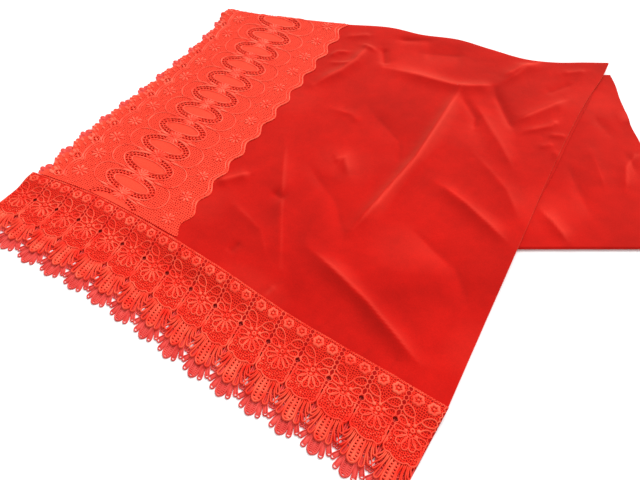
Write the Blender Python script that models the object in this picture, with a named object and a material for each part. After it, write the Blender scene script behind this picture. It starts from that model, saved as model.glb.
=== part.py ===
# Evening stole of pile velvet with a flat lace edging down one long side and corded lace across both
# ends. It lies folded on a flat surface: folded in half across its length, then the doubled strip is
# turned under along a slanting fold, so that its doubled tail comes out at the right.
# Metres, +Z up, the surface at z = 0.
import math

import bpy
import numpy as np
from mathutils.geometry import delaunay_2d_cdt

# Thicknesses and clearances
VELVET = 0.0018
EDGING = 0.0010
TRIM = 0.0016
SEAM = 0.0003
CENTRE = (-0.0003, -0.0079)  # middle of the footprint, which becomes the origin

# Heights of the upper face of the top panel above the surface
TWO_PLIES = 0.0046  # top panel over the lower one
TAIL = 0.0042  # doubled tail, under both
HEM_RISE = 0.0012  # over the head of the lower trim
FOLD_RISE = 0.0018  # the cloth springs up a little at the top fold

# Overlaps and insets
PICOTS = 0.014  # the edging stands this far past the velvet's left edge
TUCK = 0.012  # how far the tail and the lower edging reach under the panel
HEAD = 0.0065  # how far the trim lies over the velvet's end
UNDER_HEAD = 0.0085
HEM_TUCK = 0.010
FOLD_RETURN = 0.03  # share of the panel's length that its cloth carries on under the fold
LEFT_RAMP, FRONT_RAMP = 0.080, 0.060  # the cloth slopes down over these lengths beside the tail
FRONT_SPAN = 0.028  # and bridges this far in front of it
PANEL_WIDTH, PANEL_LENGTH = 0.560, 0.398  # nominal, for turning insets into shares

# The two laces
FANS = 16
FAN_PITCH = 0.035
TRIM_DEPTH = 0.0848  # from the velvet's end to the fans' tips
TIP_DROP = 0.0135  # the lower trim shows this far past the upper one
TRIM_LEAN = 0.013  # the trim's head lies this far to the left of its tips, at its middle
SCALLOPS = 11
SCALLOP_PITCH = 0.0354
SCALLOP_DEPTH, PICOT_DEPTH, PICOTS_EACH = 0.011, 0.0032, 5
LOWER_SHIFT, LOWER_OUT = 0.22, 0.0045  # the lower picots: along in repeats, and further out
EDGING_WIDTH = 0.190
RIGHT_INSET, RIGHT_WAVE, RIGHT_STEPS = 0.0030, 0.0034, 6  # its inner edge bulges at each repeat
EDGING_TURN = 0.012  # length of the edging round the top fold
TURN_INSET = 0.004  # the edging is this much narrower there, at its left

# Outline of the top panel, corner to corner: x, y
HEM = (
    (-0.3635, 0.0049), (-0.2746, -0.0346), (-0.1471, -0.1169),
    (-0.0339, -0.1966), (0.0650, -0.2593), (0.1086, -0.2876),
)
LEFT = (HEM[0], (-0.3171, 0.0851), (-0.2421, 0.1927), (-0.1889, 0.2799), (-0.1590, 0.3440))
RIGHT = (
    HEM[-1], (0.1756, -0.1690), (0.2220, -0.0865), (0.2694, -0.0018),
    (0.3128, 0.0720), (0.3528, 0.1348), (0.3940, 0.1927), (0.4050, 0.2115),
)
FOLD = (
    (-0.1572, 0.3491), (-0.1012, 0.3333), (-0.0388, 0.3203), (0.0302, 0.3086), (0.1058, 0.2985),
    (0.1422, 0.2837), (0.2002, 0.2701), (0.2411, 0.2488), (0.2944, 0.2236), (0.3300, 0.2178),
    (0.3716, 0.2178), (0.4060, 0.2170),
)
FOLD_OUT = np.array([0.220, 0.975])  # away from the panel, across the top fold
# Tips of the lower trim's fans
TIPS = (
    (-0.4109, -0.0703), (-0.3395, -0.1158), (-0.2724, -0.1539), (-0.2032, -0.1997),
    (-0.1337, -0.2500), (-0.0721, -0.2888), (-0.0102, -0.3263), (0.0539, -0.3707),
)
# The doubled tail: its left side is hidden under the panel, and its back under the top fold
TAIL_LEFT, TAIL_RIGHT, TAIL_FRONT, TAIL_BACK = -0.153, 0.4035, -0.101, 0.195
TAIL_FROM, TAIL_TO = 0.36, 0.985  # the stretch of the panel's right side that it lies under
# Share of the panel's width that the edging covers, from the hem to the top fold
EDGING_SHARE = ((0.0, 0.390), (0.25, 0.378), (0.5, 0.366), (0.75, 0.351), (1.0, 0.339))

# Main creases of the top panel: route, height, half width
CREASES = (
    (((0.082, 0.206), (0.135, 0.183), (0.182, 0.162), (0.213, 0.162), (0.236, 0.168)), 0.0050, 0.012),
    (((0.186, 0.160), (0.159, 0.110), (0.112, 0.029), (0.058, -0.044), (0.028, -0.079)), 0.0075, 0.010),
    (((0.132, -0.009), (0.163, -0.044), (0.205, -0.102)), 0.0045, 0.012),
    (((-0.022, -0.102), (0.041, -0.171), (0.090, -0.240)), 0.0055, 0.012),
    (((-0.018, 0.168), (0.020, 0.195), (0.043, 0.218), (0.063, 0.252)), 0.0050, 0.011),
    (((-0.134, -0.009), (-0.092, 0.006)), 0.0035, 0.009),
    (((0.248, 0.095), (0.328, 0.137)), 0.0035, 0.010),
    (((0.244, 0.180), (0.278, 0.203), (0.324, 0.222)), 0.0040, 0.012),
    (((-0.051, 0.072), (-0.053, -0.040), (-0.051, -0.130)), 0.0025, 0.012),
)
# Creases of the tail
TAIL_CREASES = (
    (((0.252, -0.044), (0.272, -0.092)), 0.0030, 0.010),
    (((0.398, 0.050), (0.372, 0.018), (0.360, -0.020)), 0.0025, 0.010),
)

# One fan's lower edge from the middle of a repeat to its side: along, down
FAN_EDGE = (
    (0.0, 0.0848), (0.0040, 0.0840), (0.0062, 0.0815), (0.0095, 0.0826), (0.0117, 0.0793), (0.0152, 0.0797),
)
FAN_VALLEY = 0.0770
# The opening between two fans, from their common side: top, widest, bottom
FAN_GAP = ((0.0, 0.0590), (0.0052, 0.0612), (0.0, 0.0745))
# Small gaps between two repeats of the trim: how far down, width, length
TRIM_GAPS = ((0.0284, 0.0044, 0.0052), (0.0431, 0.0042, 0.0062))
# Gaps of one repeat of the edging: share of the width, share of the repeat, size
EDGING_GAPS = (
    (0.115, 0.50, 0.0056), (0.372, 0.50, 0.0046), (0.405, 0.22, 0.0044),
    (0.405, 0.78, 0.0044), (0.735, 0.50, 0.0046), (0.700, 0.22, 0.0044), (0.700, 0.78, 0.0044),
)

COLUMNS, ROWS = 22, 19  # of the panel's mesh, apart from the columns and rows along its edges
ARC_STEPS, EDGING_STEPS = 6, 4  # of the top fold's half turn, and of the edging's part of it


def curve(points):
    """A smooth line through the points, read by the share of its length."""
    points = np.array(points, float)
    at = np.concatenate([[0.0], np.cumsum(np.linalg.norm(np.diff(points, axis=0), axis=1))])
    at /= at[-1]
    slopes = np.gradient(points, at, axis=0)

    def read(share):
        share = np.asarray(share, float)
        i = np.clip(np.searchsorted(at, share, side="right") - 1, 0, len(at) - 2)
        span = (at[i + 1] - at[i])[..., None]
        t = (share[..., None] - at[i][..., None]) / span
        near = points[i] * (1 + 2 * t) * (1 - t) ** 2 + slopes[i] * span * t * (1 - t) ** 2
        far = points[i + 1] * (3 - 2 * t) * t**2 - slopes[i + 1] * span * t**2 * (1 - t)
        return near + far

    return read


def ease(t):
    t = np.clip(t, 0.0, 1.0)
    return t * t * (3 - 2 * t)


def ridge(x, y, route, height, half_width):
    """A soft crease along the route, fading at both ends."""
    route = np.array(route)
    near, along = np.full(np.shape(x), np.inf), np.zeros(np.shape(x))
    for i, (a, b) in enumerate(zip(route[:-1], route[1:])):
        run = b - a
        t = np.clip(((x - a[0]) * run[0] + (y - a[1]) * run[1]) / (run @ run), 0.0, 1.0)
        away = np.hypot(x - a[0] - t * run[0], y - a[1] - t * run[1])
        closer = away < near
        near = np.where(closer, away, near)
        along = np.where(closer, (i + t) / (len(route) - 1), along)
    fade = ease(along / 0.25) * ease((1 - along) / 0.25)
    return height * (0.25 + 0.75 * fade) * np.exp(-((near / half_width) ** 2))


hem_line, left_line, right_line = curve(HEM), curve(LEFT), curve(RIGHT)
fold_line, tip_line = curve(FOLD), curve(TIPS)
left_length = float(np.linalg.norm(np.diff(np.array(LEFT), axis=0), axis=1).sum())


def tail_share(x, y):
    """1 over the tail, falling to 0 beside it."""
    beside = (x - TAIL_LEFT + LEFT_RAMP) / LEFT_RAMP
    before = (y - TAIL_FRONT + FRONT_SPAN + FRONT_RAMP) / FRONT_RAMP
    return ease(beside) * ease(before)


def hem_distance(x, y):
    hem = np.array(HEM)
    return y - np.interp(x, hem[:, 0], hem[:, 1])


def height(x, y):
    """Height of the upper face of the top panel."""
    fold = np.array(FOLD)
    from_fold = np.interp(x, fold[:, 0], fold[:, 1]) - y
    from_hem = hem_distance(x, y)
    z = TWO_PLIES + TAIL * tail_share(x, y)
    z = z + HEM_RISE * ease(1 - from_hem / 0.035) + FOLD_RISE * ease(1 - from_fold / 0.050)
    creases = sum(ridge(x, y, *crease) for crease in CREASES)
    return z + creases * ease((from_hem - 0.012) / 0.03) * ease((from_fold - 0.006) / 0.02)


def fold_start(u):
    """Where the cloth leaves the panel for the top fold, and the fold's radius."""
    edge = fold_line(u)
    start = edge - FOLD_OUT * (height(edge[..., 0], edge[..., 1]) / 2)[..., None]
    return start, height(start[..., 0], start[..., 1]) / 2


def panel(u, v):
    """Plan of the top panel: u runs from left to right, v from the hem to the top fold."""
    low, high = hem_line(u), fold_start(u)[0]
    left, right = left_line(v), right_line(v)
    corners = [hem_line(0.0), hem_line(1.0), fold_start(np.array(0.0))[0], fold_start(np.array(1.0))[0]]
    u, v = u[..., None], v[..., None]
    left = left + v * (corners[2] - left_line(1.0))
    right = right + v * (corners[3] - right_line(1.0))
    square = (1 - u) * (1 - v) * corners[0] + u * (1 - v) * corners[1]
    square = square + (1 - u) * v * corners[2] + u * v * corners[3]
    return (1 - v) * low + v * high + (1 - u) * left + u * right - square


def cloth(u, v, depth):
    """A point of the panel, sunk by depth: v runs 0 to 1 over it, to 2 round the fold, then beneath."""
    u, v = np.broadcast_arrays(np.asarray(u, float), np.asarray(v, float))
    flat = panel(u, np.clip(v, 0.0, 1.0) - np.clip(v - 2, 0.0, 1.0) * FOLD_RETURN)
    z = height(flat[..., 0], flat[..., 1]) - depth
    start, radius = fold_start(u)
    angle = np.clip(v - 1, 0.0, 1.0) * math.pi
    bent = start + FOLD_OUT * ((radius - depth) * np.sin(angle))[..., None]
    bent_z = radius + (radius - depth) * np.cos(angle)
    round_fold = (v > 1) & (v <= 2)
    plan = np.where(round_fold[..., None], bent, flat)
    z = np.where(v > 2, depth, np.where(round_fold, bent_z, z))
    return np.concatenate([plan, z[..., None]], axis=-1)


def panel_shares():
    """Shares u and v of the panel's mesh, with columns and rows set in along its edges."""
    insets = np.array([0.0, TUCK, TUCK + SEAM]) / PANEL_WIDTH
    u = np.linspace(PICOTS / PANEL_WIDTH + insets[-1], 1 - insets[-1], COLUMNS)
    u = np.concatenate([PICOTS / PANEL_WIDTH + insets[:-1], u, 1 - insets[-2::-1]])
    step = 1.3 * SEAM / PANEL_LENGTH
    hem_rows = np.array([0.0, HEM_TUCK, HEM_TUCK + SEAM]) / PANEL_LENGTH
    fold_rows = 1 - FOLD_RETURN - np.array([2 * step, step])
    v = np.linspace(hem_rows[-1], fold_rows[0], ROWS)
    return u, np.concatenate([hem_rows[:-1], v, fold_rows[1:], [1.0]])


def on_cloth(u, v):
    """A point on the flat facets of the top panel's mesh, with the fold's own steps."""
    columns, rows = panel_shares()
    rows = np.concatenate([rows, 1 + np.arange(1, ARC_STEPS) / ARC_STEPS])
    points = cloth(*np.meshgrid(columns, rows), 0.0)
    j = np.clip(np.searchsorted(columns, u, side="right") - 1, 0, len(columns) - 2)
    i = np.clip(np.searchsorted(rows, v, side="right") - 1, 0, len(rows) - 2)
    a = ((u - columns[j]) / (columns[j + 1] - columns[j]))[..., None]
    b = ((v - rows[i]) / (rows[i + 1] - rows[i]))[..., None]
    near, far = points[i, j], points[i + 1, j + 1]
    right = near + a * (points[i, j + 1] - near) + b * (far - points[i, j + 1])
    left = near + b * (points[i + 1, j] - near) + a * (far - points[i + 1, j])
    return np.where(a >= b, right, left)


def material(name, colour, roughness):
    made = bpy.data.materials.new(name)
    made.use_nodes = True
    shader = made.node_tree.nodes["Principled BSDF"]
    shader.inputs["Base Color"].default_value = (*[(c / 255) ** 2.2 for c in colour], 1.0)
    shader.inputs["Roughness"].default_value = roughness
    shader.inputs["Metallic"].default_value = 0.0
    return made


def wall(name, top, under, triangles, finish):
    """A closed wall between two faces that share their triangles, anticlockwise seen from the top one."""
    count = len(top)
    edges = {(a, b) for t in triangles for a, b in zip(t, (t[1], t[2], t[0]))}
    rim = [(a, b) for a, b in edges if (b, a) not in edges]
    faces = [tuple(t) for t in triangles] + [(c + count, b + count, a + count) for a, b, c in triangles]
    for a, b in sorted(rim):
        faces += [(b, a, a + count), (b, a + count, b + count)]
    points = np.concatenate([top, under]) - (*CENTRE, 0.0)
    mesh = bpy.data.meshes.new(name)
    mesh.from_pydata(points.tolist(), [], [tuple(int(i) for i in face) for face in faces])
    mesh.materials.append(finish)
    mesh.shade_smooth()
    mesh.set_sharp_from_angle(angle=math.radians(50))
    made = bpy.data.objects.new(name, mesh)
    bpy.context.scene.collection.objects.link(made)
    return made


def grid_triangles(rows, columns):
    at = np.arange(rows * columns).reshape(rows, columns)
    a, b, c, d = at[:-1, :-1], at[:-1, 1:], at[1:, 1:], at[1:, :-1]
    both = np.stack([np.stack([a, b, c], -1), np.stack([a, c, d], -1)], 2)
    return both.reshape(-1, 3).tolist()


def inside(points, polygon):
    """Which points lie inside the closed polygon."""
    found = np.zeros(len(points), bool)
    for a, b in zip(polygon, np.roll(polygon, -1, axis=0)):
        crosses = (a[1] > points[:, 1]) != (b[1] > points[:, 1])
        rise = b[1] - a[1] if b[1] != a[1] else 1.0
        found ^= crosses & (points[:, 0] < a[0] + (points[:, 1] - a[1]) * (b[0] - a[0]) / rise)
    return found


def cut_lace(outline, gaps, inner, bend_lines=()):
    """Triangles of a flat piece of lace: outline, gaps cut through it, points between, lines it bends on."""
    rings = [np.array(outline, float)] + [np.array(gap, float) for gap in gaps]
    inner = np.array(inner, float)
    keep = inside(inner, rings[0])
    for gap in rings[1:]:
        middle = gap.mean(axis=0)
        keep &= np.hypot(*(inner - middle).T) > 0.005
    points, edges = [], []
    for ring in rings:
        first = len(points)
        points += ring.tolist()
        edges += [(first + i, first + (i + 1) % len(ring)) for i in range(len(ring))]
    for ends in bend_lines:
        edges.append((len(points), len(points) + 1))
        points += list(ends)
    points += inner[keep].tolist()
    flat, _, faces, *_ = delaunay_2d_cdt(points, edges, [], 0, 1e-7, False)
    flat = np.array([(p.x, p.y) for p in flat])
    faces = np.array(faces)
    middles = flat[faces].mean(axis=1)
    keep = inside(middles, rings[0])
    for gap in rings[1:]:
        keep &= ~inside(middles, gap)
    a, b, c = (flat[faces[keep]][:, i] for i in range(3))
    turned = (b[:, 0] - a[:, 0]) * (c[:, 1] - a[:, 1]) < (b[:, 1] - a[:, 1]) * (c[:, 0] - a[:, 0])
    faces = np.where(turned[:, None], faces[keep][:, ::-1], faces[keep])
    used, index = np.unique(faces, return_inverse=True)
    return flat[used], index.reshape(-1, 3).tolist()


def diamond(x, y, half_x, half_y):
    return ((x - half_x, y), (x, y - half_y), (x + half_x, y), (x, y + half_y))


def velvet_top(finish):
    u, v = panel_shares()
    v = np.concatenate([v, 1 + np.arange(1, ARC_STEPS + 1) / ARC_STEPS, [3.0]])
    u, v = np.meshgrid(u, v)
    outer, inner = cloth(u, v, 0.0), cloth(u, v, VELVET)
    wall("velvet_top", outer.reshape(-1, 3), inner.reshape(-1, 3), grid_triangles(*u.shape), finish)


def lip(v):
    """How far the lower panel's right edge shows past the top one's."""
    return -0.0015 + 0.0070 * ease((v - 0.42) / 0.2) * ease((0.93 - v) / 0.1)


def velvet_layers(finish):
    """All the plies under the top panel: flat beneath, and stepped where tail and laces go under it."""
    u, v = panel_shares()
    bends = 1 + np.array([0.12, 0.24, 0.36, 0.46])
    u, v = np.meshgrid(u, np.concatenate([v, bends]))
    u[:, -1] = 1 + lip(v[:, -1]) / PANEL_WIDTH
    top = cloth(u, v, VELVET + SEAM)
    top[:, -1, 2] -= SEAM
    under = top.copy()
    under[..., 2] = 0.0
    under[:, :2, 2] = EDGING + SEAM
    under[:2, :, 2] = TRIM + SEAM
    over_tail = (TAIL + SEAM) * tail_share(top[..., 0], top[..., 1])
    under[:, -2:, 2] = np.maximum(under[:, -2:, 2], over_tail[:, -2:])
    in_fold = v > 1 - FOLD_RETURN - 2 * SEAM / PANEL_LENGTH
    under[..., 2] = np.where(in_fold, np.maximum(under[..., 2], VELVET + SEAM), under[..., 2])
    radius = fold_start(u)[1]
    under[..., 2] = np.where(v > 1, 2 * radius - top[..., 2], under[..., 2])
    wall("velvet_layers", top.reshape(-1, 3), under.reshape(-1, 3), grid_triangles(*u.shape), finish)


def velvet_tail(finish):
    """The doubled tail: one wall turned back on itself at its rounded front fold."""
    stations = np.linspace(TAIL_FROM, TAIL_TO, 14)
    under_panel = np.full(len(stations), 1 - (TUCK - 2 * SEAM) / PANEL_WIDTH)
    beside = panel(under_panel, stations)
    x = np.append(beside[:, 0], TAIL_RIGHT)
    y_back = np.append(np.minimum(beside[:, 1], TAIL_BACK), TAIL_BACK)
    half = TAIL / 2
    low = TAIL_FRONT + half
    keep = y_back > low + 0.008
    x, y_back = x[keep], y_back[keep]
    steps = np.linspace(1.0, 0.0, 9)
    turn = np.linspace(0, math.pi, 6)[1:-1]

    def section(sink):
        """Heights and places of the outer face, or of the inner face sunk by the wall."""
        back = [(t, 0.0, TAIL - sink) for t in steps]
        bend = [(0.0, -(half - sink) * math.sin(a), half + (half - sink) * math.cos(a)) for a in turn]
        forward = [(t, 0.0, sink) for t in steps[::-1]]
        return np.array(back + bend + forward)

    def face(sink):
        rows = section(sink)
        y = low + rows[:, 0:1] * (y_back - low) + rows[:, 1:2]
        across = np.broadcast_to(x, y.shape)
        wave = 0.0015 * np.sin((y + 0.02) / 0.026)
        across = across + wave * ease((across - 0.33) / 0.07)
        upper = ease((rows[:, 2:3] - sink) / (TAIL - 2 * sink))
        bumps = sum(ridge(across, y, *crease) for crease in TAIL_CREASES)
        edge = np.array(RIGHT)
        bumps = bumps * ease((across - np.interp(y, edge[:, 1], edge[:, 0]) - 0.010) / 0.02)
        return np.dstack([across, y, rows[:, 2:3] + upper * bumps])

    outer, inner = face(0.0), face(half - SEAM)
    facing_out = [t[::-1] for t in grid_triangles(*outer.shape[:2])]
    wall("velvet_tail", outer.reshape(-1, 3), inner.reshape(-1, 3), facing_out, finish)


def edging_share(v):
    table = np.array(EDGING_SHARE)
    return np.interp(v, table[:, 0], table[:, 1])


def scallops_along(repeats):
    """Distance along the edging: whole repeats end at the top fold."""
    return left_length - (SCALLOPS - np.asarray(repeats, float)) * SCALLOP_PITCH


def picot_edge(shift, low, high):
    """Leaf picots in shallow scallops, between two distances along: across, along."""
    number = np.arange(SCALLOPS * PICOTS_EACH * 2 + 1)
    repeats = number / (PICOTS_EACH * 2)
    along = scallops_along(repeats)
    hollow = SCALLOP_DEPTH / 2 * (1 + np.cos(2 * math.pi * (repeats + shift)))
    across = hollow + np.where(number % 2, 0.0, PICOT_DEPTH)
    keep = (along > low) & (along < high)
    return np.column_stack([across, along])[keep].tolist()


def edging_top(finish):
    """The lace down the left side, over the velvet and round the top fold."""
    low, high = HEAD + 4 * SEAM, left_length + EDGING_TURN
    left, right = TURN_INSET, EDGING_WIDTH - 0.002
    across = np.linspace(0, 1, 9)
    bends = left_length + EDGING_TURN * np.arange(1, EDGING_STEPS + 1) / EDGING_STEPS
    repeats = np.arange(SCALLOPS * RIGHT_STEPS + 1) / RIGHT_STEPS
    wave = EDGING_WIDTH - RIGHT_INSET - RIGHT_WAVE * np.cos(2 * math.pi * repeats)
    inner_edge = np.column_stack([wave, scallops_along(repeats)])
    outline = [(x, low) for x in np.linspace(0.011, right, 10)]
    outline += inner_edge[inner_edge[:, 1] > low + 0.0018].tolist()
    outline += [(right, y) for y in bends]
    outline += [(right + (left - right) * a, high) for a in across[1:-1]]
    outline += [(left, y) for y in bends[::-1]]
    outline += picot_edge(0.5, low + 0.001, high)[::-1]
    gaps = []
    for repeat in range(SCALLOPS):
        for share, at, size in EDGING_GAPS:
            along = scallops_along(repeat + at)
            if low + 0.007 < along < left_length - 0.007:
                gaps.append(diamond(share * EDGING_WIDTH, along, size / 2, size / 2))
    rows = low + (0.3 + 0.5 * np.arange(SCALLOPS * 2)) * SCALLOP_PITCH
    inner = [(PICOTS, y) for y in rows]
    rows = low + (0.3 + 0.6 * np.arange(18)) * SCALLOP_PITCH
    inner += [(EDGING_WIDTH * a, y) for a in across[1:-1] for y in rows]
    turning = [left_length, *bends[:-1]]
    inner += [(EDGING_WIDTH * (a + 0.04), y) for a in across[:-1] for y in turning]
    bend_lines = [((left + 0.002, left_length), (right + 0.001, left_length))]
    bend_lines += [((left, y), (right, y)) for y in bends[:-1]]
    flat, triangles = cut_lace(outline, gaps, inner, bend_lines)
    under = edging_place(flat)
    rise = lift(triangles, flat, under[:, 2], lambda spots: edging_place(spots)[:, 2])
    under[:, 2] += np.where(flat[:, 1] < left_length - 0.001, rise, 0.0)
    wall("edging_top", thickened(flat, under), under, triangles, finish)


def edging_shares(flat):
    v = flat[:, 1] / left_length
    turn = (flat[:, 1] - left_length) / EDGING_TURN * EDGING_STEPS / ARC_STEPS
    return flat[:, 0] / EDGING_WIDTH * edging_share(np.minimum(v, 1)), np.where(v > 1, 1 + turn, v)


def edging_place(flat):
    """Underside of the edging: on the velvet, drooping to the lower lace past the velvet's edge."""
    u, v = edging_shares(flat)
    placed = on_cloth(u, v)
    placed[:, 2] += SEAM * np.where(v > 1, 0.0, 1.0)
    outward = np.where(v > 1, np.sin((v - 1) * math.pi), 0.0) * SEAM
    placed[:, :2] += FOLD_OUT * outward[:, None]
    placed[:, 2] += np.where(v > 1, np.cos((v - 1) * math.pi), 0.0) * SEAM
    droop = (1 - ease((u * PANEL_WIDTH - 0.002) / (PICOTS - 0.003))) * ease((0.985 - v) / 0.04)
    placed[:, 2] += (EDGING + SEAM - placed[:, 2]) * droop
    return placed


def thickened(flat, under):
    """The edging's upper face: straight up, and outward round the fold."""
    turn = np.clip(edging_shares(flat)[1] - 1, 0.0, 1.0) * math.pi
    top = under.copy()
    top[:, 2] += EDGING * np.cos(turn)
    top[:, :2] += FOLD_OUT * (EDGING * np.sin(turn))[:, None]
    return top


def lift(triangles, flat, z, ground):
    """How far each point of a lace rises so that no triangle of it dips into what it lies on."""
    triangles = np.array(triangles)
    shares = [(a / 6, b / 6, (6 - a - b) / 6) for a in range(7) for b in range(7 - a)]
    rise = np.zeros(len(z))
    for share in shares:
        spots = sum(part * flat[triangles[:, k]] for k, part in enumerate(share))
        own = sum(part * z[triangles[:, k]] for k, part in enumerate(share))
        short = np.maximum(ground(spots) - own, 0.0)
        for k in range(3):
            np.maximum.at(rise, triangles[:, k], short)
    return rise


def edging_under(finish):
    """The lower lace's picots, on the surface, past the upper ones."""
    low, high = UNDER_HEAD + 0.002, left_length - 0.35 * SCALLOP_PITCH
    left, right = 0.006, PICOTS + TUCK - 2 * SEAM
    outline = [(left, low)] + [(right, y) for y in np.linspace(low, high, 16)] + [(left, high)]
    outline += [(x - LOWER_OUT, y) for x, y in picot_edge(LOWER_SHIFT, low + 0.0018, high - 0.001)][::-1]
    eyelet = 0.0014
    gaps = [diamond(0.0115, scallops_along(i + 0.78), eyelet, eyelet) for i in range(1, SCALLOPS - 1)]
    inner = [(0.015, y) for y in np.linspace(low, high, 20)[1:-1]]
    flat, triangles = cut_lace(outline, gaps, inner)
    plan = panel(flat[:, 0] / PANEL_WIDTH, flat[:, 1] / left_length)
    top = np.column_stack([plan, np.full(len(plan), EDGING)])
    under = np.column_stack([plan, np.zeros(len(plan))])
    wall("edging_under", top, under, triangles, finish)


def trim_pattern(head, drop, rows):
    """Flat pattern of the trim: along the hem, and down from the velvet's end."""
    total = FANS * FAN_PITCH
    top, widest, bottom = FAN_GAP
    outline = [(x, -head) for x in np.linspace(0, total, 2 * FANS + 1)]
    outline += [(total, y) for y in rows] + [(total, top[1] + drop), (total - widest[0], widest[1] + drop)]
    for i in reversed(range(FANS)):
        middle = (i + 0.5) * FAN_PITCH
        if i < FANS - 1:
            outline.append((middle + FAN_PITCH / 2, FAN_VALLEY + drop))
        outline += [(middle + x, y + drop) for x, y in FAN_EDGE[::-1]]
        outline += [(middle - x, y + drop) for x, y in FAN_EDGE[1:]]
    outline += [(widest[0], widest[1] + drop), (0.0, top[1] + drop)] + [(0.0, y) for y in rows[::-1]]
    gaps = []
    for i in range(1, FANS):
        side = i * FAN_PITCH
        gaps += [diamond(side, y + drop * 0.4, width / 2, length / 2) for y, width, length in TRIM_GAPS]
        kite = (top, widest, bottom, (-widest[0], widest[1]))
        gaps.append([(side + x, y + drop) for x, y in kite])
    inner = [(x * FAN_PITCH, y) for x in np.arange(0.5, FANS, 0.5) for y in rows]
    return cut_lace(outline, gaps, inner)


def trim_plan(flat):
    """Where the flat trim lies: its tips are pulled to the left less than its head."""
    down = flat[:, 1] / (TRIM_DEPTH + TIP_DROP)
    share = flat[:, 0] / (FANS * FAN_PITCH)
    share = share - TRIM_LEAN / (FANS * FAN_PITCH) * 4 * share * (1 - share) * (1 - down)
    base, tip = hem_line(share), tip_line(share)
    return base + (tip - base) * down[:, None]


def trim_top(finish):
    flat, triangles = trim_pattern(HEAD, 0.0, [0.0015, 0.012, 0.026, 0.045])
    plan = trim_plan(flat)
    head = height(plan[:, 0], plan[:, 1]) + 2 * SEAM
    z = head + (TRIM + 2 * SEAM - head) * ease((flat[:, 1] - 0.0015) / 0.0245)
    top, under = np.column_stack([plan, z + TRIM]), np.column_stack([plan, z])
    wall("trim_top", top, under, [t[::-1] for t in triangles], finish)


def trim_under(finish):
    flat, triangles = trim_pattern(UNDER_HEAD, TIP_DROP, [0.02, 0.045])
    plan = trim_plan(flat)
    top = np.column_stack([plan, np.full(len(plan), TRIM)])
    under = np.column_stack([plan, np.zeros(len(plan))])
    wall("trim_under", top, under, [t[::-1] for t in triangles], finish)


def main():
    for old in list(bpy.data.objects):
        bpy.data.objects.remove(old, do_unlink=True)
    velvet = material("velvet", (216, 32, 24), 0.85)
    flat_lace = material("flat_lace", (250, 76, 60), 0.75)
    corded_lace = material("corded_lace", (246, 70, 58), 0.7)
    velvet_top(velvet)
    velvet_layers(velvet)
    velvet_tail(velvet)
    edging_top(flat_lace)
    edging_under(flat_lace)
    trim_top(corded_lace)
    trim_under(corded_lace)


main()
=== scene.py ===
import math

import bpy
import numpy as np
from mathutils.geometry import delaunay_2d_cdt
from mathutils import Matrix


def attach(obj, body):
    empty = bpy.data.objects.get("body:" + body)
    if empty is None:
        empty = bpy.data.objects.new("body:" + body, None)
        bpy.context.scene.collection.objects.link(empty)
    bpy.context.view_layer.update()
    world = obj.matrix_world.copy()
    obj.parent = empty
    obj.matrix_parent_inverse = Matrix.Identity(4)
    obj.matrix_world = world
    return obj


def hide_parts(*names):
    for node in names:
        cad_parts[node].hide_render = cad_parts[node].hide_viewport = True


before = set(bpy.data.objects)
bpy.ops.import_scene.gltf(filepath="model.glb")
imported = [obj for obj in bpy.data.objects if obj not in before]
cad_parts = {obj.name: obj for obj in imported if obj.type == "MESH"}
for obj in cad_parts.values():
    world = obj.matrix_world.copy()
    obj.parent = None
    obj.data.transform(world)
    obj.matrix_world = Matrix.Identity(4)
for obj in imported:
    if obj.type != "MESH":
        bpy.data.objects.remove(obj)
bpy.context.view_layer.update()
bpy.ops.object.select_all(action="DESELECT")  # the load leaves the CAD nodes selected
print("Frame loaded:", sorted(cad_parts))

# An evening stole of pile velvet, folded and laid flat: metres, +Z up, the surface at z = 0.
# The shape functions repeat those of the solids, and the tables below hold the same sizes.
stole = {
    "centre": (-0.0003, -0.0079),  # middle of the footprint, which is the origin
    "seam": 0.0003,
    "velvet": 0.0018,
    "twoPlies": 0.0046,
    "tail": 0.0042,
    "hemRise": 0.0012,
    "foldRise": 0.0018,
    "smallCreases": 1.4,  # the small creases stand this many times their heights below
    "panelWidth": 0.560,
    "panelLength": 0.398,
    "picots": 0.014,  # the edging stands this far past the velvet
    "tuck": 0.012,
    "hemTuck": 0.010,
    "foldReturn": 0.03,
    "leftRamp": 0.080,
    "frontRamp": 0.060,
    "frontSpan": 0.028,
    "tailLeft": -0.153,
    "tailRight": 0.4035,
    "tailFront": -0.101,
    "foldOut": (0.220, 0.975),
    "hem": (
        (-0.3635, 0.0049), (-0.2746, -0.0346), (-0.1471, -0.1169),
        (-0.0339, -0.1966), (0.0650, -0.2593), (0.1086, -0.2876),
    ),
    "left": ((-0.3635, 0.0049), (-0.3171, 0.0851), (-0.2421, 0.1927), (-0.1889, 0.2799), (-0.1590, 0.3440)),
    "right": (
        (0.1086, -0.2876), (0.1756, -0.1690), (0.2220, -0.0865), (0.2694, -0.0018),
        (0.3128, 0.0720), (0.3528, 0.1348), (0.3940, 0.1927), (0.4050, 0.2115),
    ),
    "fold": (
        (-0.1572, 0.3491), (-0.1012, 0.3333), (-0.0388, 0.3203), (0.0302, 0.3086), (0.1058, 0.2985),
        (0.1422, 0.2837), (0.2002, 0.2701), (0.2411, 0.2488), (0.2944, 0.2236), (0.3300, 0.2178),
        (0.3716, 0.2178), (0.4060, 0.2170),
    ),
    "tips": (
        (-0.4109, -0.0703), (-0.3395, -0.1158), (-0.2724, -0.1539), (-0.2032, -0.1997),
        (-0.1337, -0.2500), (-0.0721, -0.2888), (-0.0102, -0.3263), (0.0539, -0.3707),
    ),
}

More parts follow.
